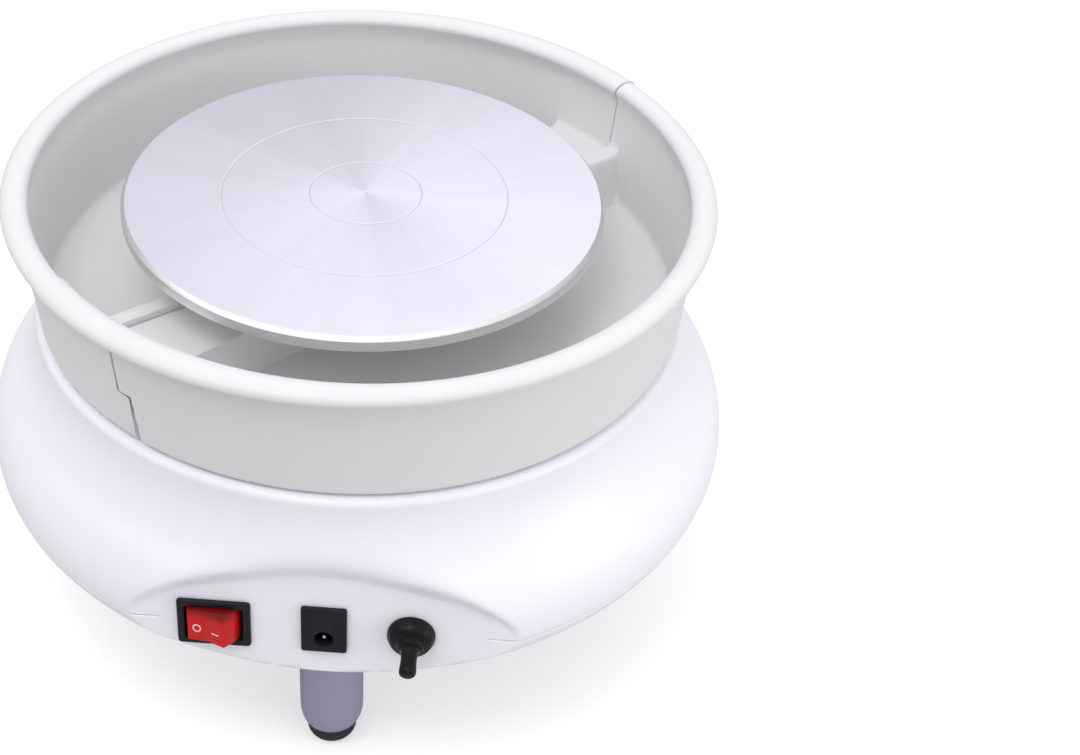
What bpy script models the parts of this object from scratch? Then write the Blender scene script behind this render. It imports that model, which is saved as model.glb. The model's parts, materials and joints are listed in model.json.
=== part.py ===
"""A small electric pottery wheel: a turned wheel head in a two-piece splash pan, on a domed base.

Origin on the spin axis at floor level, +Z up, the control panel faces -Y. Units are metres.
"""
import math

import bmesh
import bpy
from mathutils import Matrix, Vector

MM = 0.001
GAP = 0.3 * MM          # clearance between pieces that rest on each other
RUNNING_GAP = 0.4 * MM  # clearance round anything that turns

# Wheel head and spindle
HEAD_RADIUS = 125 * MM
HEAD_THICKNESS = 8 * MM
HEAD_TOP = 245 * MM
HEAD_CHAMFER = 1.6 * MM
HUB_FLANGE_RADIUS = 35 * MM
HUB_FLANGE_THICKNESS = 6 * MM
HUB_BOSS_RADIUS = 20 * MM
HUB_LENGTH = 24 * MM
HUB_BOLT_CIRCLE = 27 * MM
HUB_BOLTS = 3
SHAFT_RADIUS = 8.5 * MM

# Splash pan
PAN_RIM_TOP = 258 * MM
PAN_RIM_RADIUS = 183 * MM
PAN_MOUTH_RADIUS = 169.4 * MM
PAN_BEAD_HEIGHT = 9.4 * MM
PAN_WALL_TOP_RADIUS = 176 * MM
PAN_WALL_FOOT_RADIUS = 170 * MM
PAN_WALL = 4.6 * MM
PAN_FLOOR = 3 * MM
PAN_BOTTOM = 186 * MM
PAN_COLLAR_RADIUS = 29 * MM
PAN_COLLAR_WALL = 3 * MM
PAN_COLLAR_TOP = 222 * MM
PAN_SEAM_ANGLE = 40.0      # degrees round from +X to the right-hand seam
PAN_OVERLAP_ANGLE = 15.0   # degrees that one half's tab reaches under the other
PAN_PLATFORM_TURN = 65.0   # the same at the collar, so that the platform's edge follows the seam
PAN_PLATFORM_HEIGHT = 28.5 * MM
PAN_DAM_HEIGHT = 32 * MM
PAN_DAM_WIDTH = 14 * MM

# Base
BASE_RADIUS = 202 * MM
BASE_BULGE = 52 * MM         # radius of the dome's rounded shoulder
BASE_BULGE_Z = 108.4 * MM
BASE_PARTING_Z = 105 * MM
BASE_UNDERSIDE = 72 * MM
BASE_TUCK = 24 * MM          # radius below the equator, before the tray's 45 degree flank
BASE_WALL = 3 * MM
NECK_RADIUS = 177 * MM
NECK_EDGE = 5 * MM
NECK_FILLET = 24 * MM
BASE_COLLAR_RADIUS = 27 * MM
BASE_COLLAR_BORE = 22 * MM
BASE_COLLAR_TOP = 208 * MM
SHELL_SCREWS = 3

# Control panel
PANEL_DISTANCE = 177.6 * MM    # from the spin axis at the parting line
PANEL_TILT = 4.0               # degrees that the panel faces upwards
PANEL_HALF_WIDTH = 98 * MM     # the panel is sunk into the dome inside an arched outline
PANEL_ARCH_HEIGHT = 43 * MM    # above the parting line
PANEL_SKIRT_WIDTH = 162 * MM
CONTROL_Z = 105 * MM
ROCKER_X = -54 * MM
TOGGLE_X = 43 * MM
BEZEL_SIZE = (36 * MM, 28 * MM)
BEZEL_THICKNESS = 2.2 * MM
ROCKER_SIZE = (26.4 * MM, 19.6 * MM)
ROCKER_REST_TILT = 15.0
ROCKER_PIVOT = -6.3 * MM       # behind the panel's face
ROCKER_DISH = 1.4 * MM         # depth of the shallow V in the paddle's face
JACK_PLATE = (22.6 * MM, 28.4 * MM)
JACK_PLATE_THICKNESS = 2 * MM
JACK_SOCKET_RADIUS = 4.8 * MM
JACK_DROP = 5.6 * MM
JACK_DEPTH = 13 * MM
TOGGLE_REST_TILT = 17.0
TOGGLE_REACH = 23.4 * MM
BOOT_RADIUS = 12 * MM
SLEEVE_RADIUS = 4.35 * MM

# Legs
LEG_CIRCLE = 152 * MM
LEG_RADIUS = 16.6 * MM
LEG_ANGLES = (-90.0, 30.0, 150.0)
LEG_NAMES = ("front", "right", "left")
FOOT_RADIUS = 13 * MM
FOOT_HEIGHT = 12 * MM

# Frame and drive inside the base
PLATE_BOTTOM = 78.3 * MM
PLATE_THICKNESS = 3 * MM
PLATE_RADIUS = 162 * MM
BEARING_RADIUS = 20 * MM
BEARING_WIDTH = 12 * MM
HOUSING_RADIUS = 29 * MM
HOUSING_FLANGE_RADIUS = 50 * MM
HOUSING_LENGTH = 62 * MM
HOUSING_BOLTS = 3
PULLEY_RADIUS = 68 * MM
PULLEY_WIDTH = 13 * MM
PULLEY_BOTTOM = 152 * MM
MOTOR_PULLEY_RADIUS = 12 * MM
MOTOR_DISTANCE = 106 * MM
MOTOR_RADIUS = 36 * MM
MOTOR_LENGTH = 56 * MM
MOTOR_SHAFT_RADIUS = 4 * MM
BELT_THICKNESS = 2.4 * MM

FINISHES = {
    "white_plastic": ((0.86, 0.85, 0.89), 0.22, 0.0),
    "pan_plastic": ((0.83, 0.83, 0.86), 0.3, 0.0),
    "turned_aluminium": ((0.78, 0.77, 0.83), 0.3, 1.0),
    "cast_aluminium": ((0.55, 0.56, 0.58), 0.5, 1.0),
    "leg_paint": ((0.36, 0.34, 0.44), 0.4, 0.6),
    "rubber": ((0.03, 0.03, 0.035), 0.7, 0.0),
    "black_plastic": ((0.02, 0.02, 0.025), 0.4, 0.0),
    "red_plastic": ((0.6, 0.03, 0.03), 0.2, 0.0),
    "steel": ((0.6, 0.6, 0.62), 0.35, 1.0),
    "zinc_plate": ((0.62, 0.64, 0.66), 0.45, 1.0),
    "circuit_green": ((0.03, 0.2, 0.08), 0.5, 0.0),
    "black_enamel": ((0.03, 0.03, 0.03), 0.35, 0.2),
    "copper_lead": ((0.45, 0.04, 0.03), 0.5, 0.0),
}


# ---------------------------------------------------------------- helpers

def clear_scene():
    """Remove whatever the startup file left behind."""
    for obj in list(bpy.data.objects):
        bpy.data.objects.remove(obj, do_unlink=True)


def make_collection(name):
    collection = bpy.data.collections.new(name)
    bpy.context.scene.collection.children.link(collection)
    return collection


def make_material(finish):
    colour, roughness, metallic = FINISHES[finish]
    material = bpy.data.materials.get(finish) or bpy.data.materials.new(finish)
    material.use_nodes = True
    shader = material.node_tree.nodes["Principled BSDF"]
    shader.inputs["Base Color"].default_value = (*colour, 1.0)
    shader.inputs["Roughness"].default_value = roughness
    shader.inputs["Metallic"].default_value = metallic
    return material


def add_object(name, mesh, finish=None, place=None):
    """Link a mesh as a part, or as a cutter when it has no finish."""
    obj = bpy.data.objects.new(name, mesh)
    if finish:
        PARTS.objects.link(obj)
        mesh.materials.append(make_material(finish))
    else:
        CUTTERS.objects.link(obj)
        obj.hide_render = True
        obj.display_type = "WIRE"
    obj.matrix_world = place or Matrix()
    return obj


def mesh_from(bm, name):
    bmesh.ops.recalc_face_normals(bm, faces=bm.faces)
    mesh = bpy.data.meshes.new(name)
    bm.to_mesh(mesh)
    bm.free()
    return mesh


def shade_round(mesh):
    mesh.shade_smooth()
    mesh.set_sharp_from_angle(angle=math.radians(30))


def settle(obj):
    """Turn an object's modifiers into its own mesh, shaded smooth."""
    depsgraph = bpy.context.evaluated_depsgraph_get()
    finished = bpy.data.meshes.new_from_object(obj.evaluated_get(depsgraph))
    shade_round(finished)
    obj.modifiers.clear()
    obj.data = finished
    return obj


def arc(centre, radius, start, end, steps):
    """Points (r, z) along an arc, between two angles in degrees."""
    angles = [math.radians(start + (end - start) * i / steps) for i in range(steps + 1)]
    return [(centre[0] + radius * math.cos(a), centre[1] + radius * math.sin(a)) for a in angles]


def turned(name, profile, segments, finish=None, place=None):
    """Spin a profile about Z: outer side from top to bottom, a loop unless it meets the axis."""
    points = [(r, 0.0, z) for r, z in profile]
    edges = [(i, i + 1) for i in range(len(points) - 1)]
    if profile[0][0] > 0.0:
        edges.append((len(points) - 1, 0))
    mesh = bpy.data.meshes.new(name)
    mesh.from_pydata(points, edges, [])
    obj = add_object(name, mesh, finish, place)
    screw = obj.modifiers.new("Turn", "SCREW")
    screw.steps = segments
    screw.render_steps = segments
    screw.use_merge_vertices = True
    screw.merge_threshold = 0.00001
    return settle(obj)


def rod_profile(radius, bottom, top, edge=0.0):
    """Profile of a solid cylinder, with its two edges chamfered when edge is given."""
    if not edge:
        return [(0.0, top), (radius, top), (radius, bottom), (0.0, bottom)]
    return [
        (0.0, top), (radius - edge, top), (radius, top - edge),
        (radius, bottom + edge), (radius - edge, bottom), (0.0, bottom),
    ]


def tube_profile(inner, outer, bottom, top):
    return [(inner, top), (outer, top), (outer, bottom), (inner, bottom)]


def hex_nut_profile(bore, outer, bottom, top):
    """A hexagon's flats lie nearer than its corners, so its bore is measured across the flats."""
    return tube_profile(bore / math.cos(math.pi / 6), outer, bottom, top)


def box(name, size, centre, finish=None, place=None, edge=0.0):
    """A box of a given size about a centre in its own frame, optionally with bevelled edges."""
    bm = bmesh.new()
    scale = Matrix.Translation(Vector(centre)) @ Matrix.Diagonal((*size, 1.0))
    bmesh.ops.create_cube(bm, size=1.0, matrix=scale)
    obj = add_object(name, mesh_from(bm, name), finish, place)
    if edge:
        bevel = obj.modifiers.new("Edges", "BEVEL")
        bevel.width = edge
        bevel.segments = 2
    return obj


def combine(target, tool, operation):
    step = target.modifiers.new(tool.name, "BOOLEAN")
    step.operation = operation
    step.solver = "EXACT"
    step.object = tool
    return target


def copies(name, source, places, finish, labels=None):
    """The same solid at several places, one object each, all sharing one mesh."""
    mesh = source.data
    bpy.data.objects.remove(source, do_unlink=True)
    mesh.materials.append(make_material(finish))
    for number, place in enumerate(places, 1):
        label = labels[number - 1] if labels else str(number)
        piece = bpy.data.objects.new(name + "_" + label, mesh)
        PARTS.objects.link(piece)
        piece.matrix_world = place


def around(radius, angles, z=0.0):
    """Places on a circle round the spin axis, each turned to face outwards."""
    return [
        Matrix.Rotation(math.radians(a), 4, "Z") @ Matrix.Translation((radius, 0.0, z))
        for a in angles
    ]


def evenly(count, first=0.0):
    return [first + 360.0 * i / count for i in range(count)]


def smooth_route(points, per_span):
    """Catmull-Rom curve through the route's own points."""
    ends = [points[0]] + list(points) + [points[-1]]
    route = []
    for a, b, c, d in zip(ends, ends[1:], ends[2:], ends[3:]):
        a, b, c, d = Vector(a), Vector(b), Vector(c), Vector(d)
        for i in range(per_span):
            t = i / per_span
            route.append(0.5 * (2 * b + (c - a) * t + (2 * a - 5 * b + 4 * c - d) * t ** 2
                                + (3 * b - a - 3 * c + d) * t ** 3))
    return route + [Vector(points[-1])]


def wire(name, route, radius, finish):
    """A round lead along a smooth route, with flat ends."""
    points = smooth_route(route, 4)
    curve = bpy.data.curves.new(name, "CURVE")
    curve.dimensions = "3D"
    curve.bevel_depth = radius
    curve.bevel_resolution = 2
    curve.use_fill_caps = True
    spline = curve.splines.new("POLY")
    spline.points.add(len(points) - 1)
    for point, place in zip(spline.points, points):
        point.co = (*place, 1.0)
    obj = bpy.data.objects.new(name, curve)
    PARTS.objects.link(obj)
    curve.materials.append(make_material(finish))
    return obj


# ---------------------------------------------------------------- wheel and spindle

def wheel_head():
    bottom = HEAD_TOP - HEAD_THICKNESS
    profile = [
        (0.0, HEAD_TOP), (HEAD_RADIUS - HEAD_CHAMFER, HEAD_TOP),
        (HEAD_RADIUS, HEAD_TOP - HEAD_CHAMFER), (HEAD_RADIUS, bottom + HEAD_CHAMFER / 2),
        (HEAD_RADIUS - HEAD_CHAMFER / 2, bottom), (0.0, bottom),
    ]
    return turned("wheel_head", profile, 72, "turned_aluminium")


def head_hub():
    """Flanged hub that carries the head: a boss on the spindle, held by one set screw."""
    top = HEAD_TOP - HEAD_THICKNESS - GAP
    flange_bottom = top - HUB_FLANGE_THICKNESS
    bottom = top - HUB_LENGTH
    bore = SHAFT_RADIUS + GAP
    profile = [
        (bore, top), (HUB_FLANGE_RADIUS, top), (HUB_FLANGE_RADIUS, flange_bottom),
        (HUB_BOSS_RADIUS, flange_bottom), (HUB_BOSS_RADIUS, bottom), (bore, bottom),
    ]
    hub = turned("head_hub", profile, 40, "cast_aluminium")
    middle = (flange_bottom + bottom) / 2
    sideways = Matrix.Translation((0.0, 0.0, middle)) @ Matrix.Rotation(math.pi / 2, 4, "Y")
    reach = rod_profile(3 * MM + GAP, 0.0, 2 * HUB_BOSS_RADIUS)
    combine(hub, turned("set_screw_bore", reach, 16, place=sideways), "DIFFERENCE")
    screw = rod_profile(3 * MM, SHAFT_RADIUS + GAP, HUB_BOSS_RADIUS - 1 * MM)
    turned("hub_set_screw", screw, 16, "steel", sideways)

    head_radius = 4.25 * MM
    head_height = 4 * MM
    source = turned("bolt_source", rod_profile(head_radius, -head_height, 0.0, 0.5 * MM), 16)
    seat = flange_bottom - GAP
    angles = evenly(HUB_BOLTS, 60.0)
    copies("hub_bolt", source, around(HUB_BOLT_CIRCLE, angles, seat), "steel")


def main_shaft():
    top = HEAD_TOP - HEAD_THICKNESS - GAP
    bottom = PLATE_BOTTOM + PLATE_THICKNESS + GAP
    turned("main_shaft", rod_profile(SHAFT_RADIUS, bottom, top, 0.8 * MM), 28, "steel")


def shaft_seal():
    top = BASE_COLLAR_TOP - 1 * MM
    inner = SHAFT_RADIUS + RUNNING_GAP
    outer = BASE_COLLAR_BORE - GAP
    lip = 3 * MM
    profile = [
        (inner, top), (inner + lip, top - lip), (outer, top - lip), (outer, top - 3 * lip),
        (inner, top - 3 * lip),
    ]
    turned("shaft_seal", profile, 32, "rubber")


def bearings_and_housing():
    """A cast housing with a bearing at each end, bolted to the chassis plate."""
    bottom = PLATE_BOTTOM + PLATE_THICKNESS + GAP
    top = bottom + HOUSING_LENGTH
    foot = 6 * MM
    seat = BEARING_RADIUS + GAP
    waist = BEARING_RADIUS - 4 * MM
    shoulder = BEARING_WIDTH + 1 * MM
    profile = [
        (seat, top), (HOUSING_RADIUS, top), (HOUSING_RADIUS, bottom + foot + 4 * MM),
        (HOUSING_RADIUS + 4 * MM, bottom + foot), (HOUSING_FLANGE_RADIUS, bottom + foot),
        (HOUSING_FLANGE_RADIUS, bottom), (seat, bottom), (seat, bottom + shoulder),
        (waist, bottom + shoulder), (waist, top - shoulder), (seat, top - shoulder),
    ]
    turned("bearing_housing", profile, 32, "cast_aluminium")
    for name, low in (
        ("lower_bearing", bottom + shoulder - GAP - BEARING_WIDTH),
        ("upper_bearing", top - shoulder + GAP),
    ):
        ring = tube_profile(SHAFT_RADIUS + RUNNING_GAP, BEARING_RADIUS, low, low + BEARING_WIDTH)
        turned(name, ring, 28, "steel")
    seat_z = bottom + foot + GAP
    bolt = turned("bolt_source", rod_profile(4.5 * MM, 0.0, 5 * MM, 0.6 * MM), 6)
    circle = (HOUSING_RADIUS + HOUSING_FLANGE_RADIUS) / 2 + 2 * MM
    copies("housing_bolt", bolt, around(circle, evenly(HOUSING_BOLTS, 30.0), seat_z), "steel")
    ring = tube_profile(SHAFT_RADIUS + GAP, SHAFT_RADIUS + 4 * MM, top + GAP, top + 1.6 * MM)
    turned("retaining_ring", ring, 24, "steel")


def pulleys_and_belt():
    """A large pulley on the spindle, a small one on the motor, and the belt round both."""
    low = PULLEY_BOTTOM
    high = low + PULLEY_WIDTH
    lip = 2.5 * MM
    rim = PULLEY_RADIUS + BELT_THICKNESS + 1.2 * MM
    bore = SHAFT_RADIUS + GAP
    hub = SHAFT_RADIUS + 9 * MM
    web = 4 * MM
    under_rim = PULLEY_RADIUS - 5 * MM
    profile = [
        (bore, high), (hub, high), (hub, low + web), (under_rim, low + web),
        (under_rim, high), (rim, high), (PULLEY_RADIUS, high - lip),
        (PULLEY_RADIUS, low + lip), (rim, low), (bore, low),
    ]
    turned("driven_pulley", profile, 40, "cast_aluminium")

    motor_rim = MOTOR_PULLEY_RADIUS + BELT_THICKNESS + 1.2 * MM
    motor_bore = MOTOR_SHAFT_RADIUS + GAP
    small = [
        (motor_bore, high), (motor_rim, high), (MOTOR_PULLEY_RADIUS, high - lip),
        (MOTOR_PULLEY_RADIUS, low + lip), (motor_rim, low), (motor_bore, low),
    ]
    motor_place = Matrix.Translation((0.0, MOTOR_DISTANCE, 0.0))
    turned("motor_pulley", small, 24, "steel", motor_place)

    slack = lip + 0.5 * MM
    drive_belt(low + slack, high - slack)


def drive_belt(low, high):
    """A flat band that leaves both pulleys along their outer tangents."""
    lean = math.degrees(math.asin((PULLEY_RADIUS - MOTOR_PULLEY_RADIUS) / MOTOR_DISTANCE))

    def loop(lift):
        near = arc((0.0, 0.0), PULLEY_RADIUS + lift, 180.0 - lean, 360.0 + lean, 30)
        far = arc((0.0, MOTOR_DISTANCE), MOTOR_PULLEY_RADIUS + lift, lean, 180.0 - lean, 10)
        return near + far

    inner = loop(GAP)
    outer = loop(GAP + BELT_THICKNESS)
    bm = bmesh.new()
    rings = [
        [bm.verts.new((x, y, z)) for x, y in path]
        for path, z in ((inner, low), (outer, low), (outer, high), (inner, high))
    ]
    for near, far in zip(rings, rings[1:] + rings[:1]):
        for i, corner in enumerate(near):
            j = (i + 1) % len(near)
            bm.faces.new((corner, near[j], far[j], far[i]))
    add_object("drive_belt", mesh_from(bm, "drive_belt"), "rubber")


def motor():
    """The motor hangs from a bridge on the chassis plate, with its shaft up into the pulley."""
    place = Matrix.Translation((0.0, MOTOR_DISTANCE, 0.0))
    plate_top = PLATE_BOTTOM + PLATE_THICKNESS
    deck = 3 * MM
    deck_bottom = PULLEY_BOTTOM - 4 * MM - deck
    motor_top = deck_bottom - GAP
    motor_bottom = motor_top - MOTOR_LENGTH
    nose = 9 * MM
    edge = 3 * MM
    hollow = MOTOR_SHAFT_RADIUS + RUNNING_GAP
    pocket = motor_top - 20 * MM
    profile = [
        (0.0, pocket), (hollow, pocket), (hollow, motor_top + deck), (nose, motor_top + deck),
        (nose, motor_top), (MOTOR_RADIUS - edge, motor_top), (MOTOR_RADIUS, motor_top - edge),
        (MOTOR_RADIUS, motor_bottom + edge), (MOTOR_RADIUS - edge, motor_bottom),
        (0.0, motor_bottom),
    ]
    turned("motor_body", profile, 32, "black_enamel", place)
    shaft = rod_profile(MOTOR_SHAFT_RADIUS, pocket + GAP, PULLEY_BOTTOM + PULLEY_WIDTH + 2 * MM)
    turned("motor_shaft", shaft, 20, "steel", place)

    half_width = MOTOR_RADIUS + 4 * MM
    depth = 44 * MM
    bridge = box(
        "motor_bracket", (2 * half_width, depth, deck), (0.0, 0.0, deck_bottom + deck / 2),
        "zinc_plate", place,
    )
    leg_bottom = plate_top + GAP
    leg_height = deck_bottom + deck - leg_bottom
    for side, sign in (("left", -1), ("right", 1)):
        leg_x = sign * (half_width - deck / 2)
        leg = box(
            "bracket_leg_" + side, (deck, depth, leg_height),
            (leg_x, 0.0, leg_bottom + leg_height / 2), place=place,
        )
        combine(bridge, leg, "UNION")
        toe_x = sign * (half_width + 5 * MM)
        toe = box(
            "bracket_toe_" + side, (16 * MM, depth, deck),
            (toe_x, 0.0, leg_bottom + deck / 2), place=place,
        )
        combine(bridge, toe, "UNION")
    opening = turned(
        "motor_nose_bore", rod_profile(nose + GAP, deck_bottom - deck, deck_bottom + 2 * deck), 24,
        place=place,
    )
    combine(bridge, opening, "DIFFERENCE")

    screw = turned("screw_source", rod_profile(3.2 * MM, 0.0, 2.4 * MM, 0.4 * MM), 14)
    deck_top = deck_bottom + deck + GAP
    spots = [(x, 0.0, deck_top) for x in (-24 * MM, 24 * MM)]
    copies("motor_screw", screw, [place @ Matrix.Translation(s) for s in spots], "steel")
    bolt = turned("bolt_source", rod_profile(4 * MM, 0.0, 4 * MM, 0.5 * MM), 6)
    toe_top = leg_bottom + deck + GAP
    toe_x = half_width + 7 * MM
    spots = [(x, 0.0, toe_top) for x in (-toe_x, toe_x)]
    copies("bracket_bolt", bolt, [place @ Matrix.Translation(s) for s in spots], "steel")


# ---------------------------------------------------------------- base

def base_profile(inset):
    """The base's outline from its seat down to its underside, moved inwards by inset."""
    edge_steps, fillet_steps, bulge_steps, tuck_steps = (1, 2, 3, 2) if inset else (2, 3, 6, 3)
    top = PAN_BOTTOM - GAP
    neck = NECK_RADIUS - inset
    edge = NECK_EDGE - inset
    bulge = BASE_BULGE - inset
    fillet = NECK_FILLET + inset
    centre = BASE_RADIUS - BASE_BULGE
    across = NECK_RADIUS + NECK_FILLET - centre
    reach = BASE_BULGE + NECK_FILLET
    meeting = math.degrees(math.acos(across / reach))
    fillet_z = BASE_BULGE_Z + reach * math.sin(math.radians(meeting))
    edge_centre = (NECK_RADIUS - NECK_EDGE, top - NECK_EDGE)
    tuck_centre = (BASE_RADIUS - BASE_TUCK, BASE_BULGE_Z)
    underside = BASE_UNDERSIDE + inset
    points = arc(edge_centre, edge, 90.0, 0.0, edge_steps)
    points += arc((neck + fillet, fillet_z), fillet, 180.0, 180.0 + meeting, fillet_steps)
    points += arc((centre, BASE_BULGE_Z), bulge, meeting, 0.0, bulge_steps)[1:]
    points += arc(tuck_centre, BASE_TUCK - inset, 0.0, -45.0, tuck_steps)[1:]
    flank_top = points[-1]
    points.append((flank_top[0] - (flank_top[1] - underside), underside))
    return points


def base_solid(name, inset):
    """A solid of the base's outline, with the control panel's window taken out of it."""
    outline = base_profile(inset)
    top = outline[0][1]
    bottom = outline[-1][1]
    solid = turned(name, [(0.0, top)] + outline + [(0.0, bottom)], 48)
    return combine(solid, panel_window(name + "_panel_window", inset), "DIFFERENCE")


def panel_window(name, inset):
    """The space in front of the panel: an arched outline from below the base to the dome."""
    half_width = PANEL_HALF_WIDTH + inset
    height = PANEL_ARCH_HEIGHT + inset
    below = BASE_UNDERSIDE - 20 * MM
    outline = [(-half_width, below)]
    for step in range(17):
        turn = math.radians(-90.0 + 180.0 * step / 16)
        across = math.copysign(abs(math.sin(turn)) ** 1.1, turn)
        rise = max(math.cos(turn), 0.0) ** 1.25
        outline.append((half_width * across, BASE_PARTING_Z + height * rise))
    outline.append((half_width, below))
    lean = math.tan(math.radians(PANEL_TILT))
    back = -PANEL_DISTANCE + inset
    bm = bmesh.new()
    near = [bm.verts.new((x, back + (z - BASE_PARTING_Z) * lean, z)) for x, z in outline]
    far = [bm.verts.new((x, -1.3 * BASE_RADIUS, z)) for x, z in outline]
    bm.faces.new(near)
    bm.faces.new(far)
    for i, corner in enumerate(near):
        j = (i + 1) % len(near)
        bm.faces.new((corner, near[j], far[j], far[i]))
    return add_object(name, mesh_from(bm, name))


def panel_place(x, z):
    """Frame of a spot on the panel: local X right, local Y up the panel, local Z outwards."""
    tilt = math.radians(PANEL_TILT)
    y = -PANEL_DISTANCE + (z - BASE_PARTING_Z) * math.tan(tilt)
    right = Vector((1.0, 0.0, 0.0))
    up = Vector((0.0, math.sin(tilt), math.cos(tilt)))
    out = Vector((0.0, -math.cos(tilt), math.sin(tilt)))
    turn = Matrix((right, up, out)).transposed().to_4x4()
    return Matrix.Translation((x, y, z)) @ turn


def base_shells():
    """Dome and tray: one hollow body, parted at a level line that drops round the panel."""
    body = base_solid("base_body", 0.0)
    hollow = base_solid("base_hollow", BASE_WALL)
    combine(body, hollow, "DIFFERENCE")
    settle(body)

    reach = 2.4 * BASE_RADIUS
    height = 2 * BASE_RADIUS
    skirt_drop = BASE_PARTING_Z - BASE_UNDERSIDE + 10 * MM
    upper = add_object("upper_shell", body.data.copy(), "white_plastic")
    lower = add_object("lower_shell", body.data.copy(), "white_plastic")
    for shell, operation, slack in ((upper, "INTERSECT", 0.0), (lower, "DIFFERENCE", RUNNING_GAP)):
        floor = BASE_PARTING_Z - slack
        block = box(
            shell.name + "_parting", (reach, reach, height), (0.0, 0.0, floor + height / 2),
        )
        thick = BASE_WALL + slack + 0.2 * MM
        skirt = box(
            shell.name + "_skirt",
            (PANEL_SKIRT_WIDTH + 2 * slack, 2 * skirt_drop, 2 * thick),
            (0.0, 0.0, 0.0), place=panel_place(0.0, BASE_PARTING_Z),
        )
        combine(block, skirt, "UNION")
        combine(shell, block, operation)

    collar = rod_profile(BASE_COLLAR_RADIUS, PAN_BOTTOM - BASE_WALL / 2, BASE_COLLAR_TOP)
    combine(upper, turned("base_collar", collar, 36), "UNION")
    bore = rod_profile(BASE_COLLAR_BORE, PAN_BOTTOM - 20 * MM, BASE_COLLAR_TOP + 20 * MM)
    combine(upper, turned("collar_bore", bore, 36), "DIFFERENCE")

    boss_circle = NECK_RADIUS - 9 * MM
    boss_radius = 4.5 * MM
    boss_top = PAN_BOTTOM - BASE_WALL / 2
    boss_bottom = BASE_UNDERSIDE + BASE_WALL + GAP
    screw_radius = 2 * MM
    source = turned("screw_source", [
        (0.0, 20 * MM), (screw_radius, 20 * MM), (screw_radius, 0.0), (3.6 * MM, 0.0),
        (3.6 * MM, -1.8 * MM), (0.0, -1.8 * MM),
    ], 12)
    seat = BASE_UNDERSIDE - GAP
    angles = evenly(SHELL_SCREWS, 90.0)
    copies("shell_screw", source, around(boss_circle, angles, seat), "steel")
    for number, place in enumerate(around(boss_circle, angles)):
        boss = rod_profile(boss_radius, boss_bottom, boss_top)
        hole = rod_profile(screw_radius + GAP, BASE_UNDERSIDE - 5 * MM, seat + 21 * MM)
        combine(upper, turned("boss_%d" % number, boss, 12, place=place), "UNION")
        drill = turned("screw_hole_%d" % number, hole, 12, place=place)
        combine(upper, drill, "DIFFERENCE")
        combine(lower, drill, "DIFFERENCE")
    return upper, lower


def chassis(lower):
    """Steel plate on the tray's three leg posts; the legs' studs clamp plate and tray together."""
    bottom = PLATE_BOTTOM
    top = bottom + PLATE_THICKNESS
    plate = turned("chassis_plate", rod_profile(PLATE_RADIUS, bottom, top), 40, "zinc_plate")
    clear = box(
        "plate_panel_cut", (2 * PLATE_RADIUS, PLATE_RADIUS, 4 * PLATE_RADIUS),
        (0.0, -PANEL_DISTANCE + 9 * MM - PLATE_RADIUS / 2, 0.0),
    )
    combine(plate, clear, "DIFFERENCE")
    stud = 5 * MM
    leg_top = BASE_UNDERSIDE - GAP
    stud_bottom = leg_top - 25 * MM
    stud_top = top + 5 * MM
    places = around(LEG_CIRCLE, LEG_ANGLES)
    for name, place in zip(LEG_NAMES, places):
        post = rod_profile(12 * MM, BASE_UNDERSIDE + BASE_WALL / 2, bottom - GAP)
        combine(lower, turned("leg_post_" + name, post, 20, place=place), "UNION")
    for name, place in zip(LEG_NAMES, places):
        hole = rod_profile(stud + GAP, stud_bottom - GAP, stud_top)
        drill = turned("stud_hole_" + name, hole, 16, place=place)
        combine(plate, drill, "DIFFERENCE")
        combine(lower, drill, "DIFFERENCE")
        shoulder_z = FOOT_HEIGHT
        ease = 11 * MM
        step = LEG_RADIUS - FOOT_RADIUS
        leg_profile = [(0.0, leg_top), (LEG_RADIUS, leg_top), (LEG_RADIUS, shoulder_z + ease)]
        leg_profile += [
            (LEG_RADIUS - step * (1 - math.cos(a)), shoulder_z + ease * (1 - math.sin(a)))
            for a in (math.radians(d) for d in (30, 60, 90))
        ]
        leg_profile.append((0.0, shoulder_z))
        leg = turned("leg_" + name, leg_profile, 24, "leg_paint", place)
        combine(leg, drill, "DIFFERENCE")
        foot_top = shoulder_z - GAP
        foot_profile = [(0.0, foot_top), (FOOT_RADIUS, foot_top)]
        foot_profile += arc((FOOT_RADIUS - 7 * MM, 7 * MM), 7 * MM, 0.0, -90.0, 4)
        foot_profile.append((0.0, 0.0))
        turned("foot_" + name, foot_profile, 20, "rubber", place)
    source = turned("stud_source", rod_profile(stud, stud_bottom, stud_top, 0.5 * MM), 16)
    copies("leg_stud", source, places, "steel", LEG_NAMES)
    nut = turned("nut_source", hex_nut_profile(stud + GAP, 9.5 * MM, top + GAP, stud_top - 1 * MM), 6)
    copies("leg_nut", nut, places, "steel", LEG_NAMES)


# ---------------------------------------------------------------- splash pan

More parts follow.
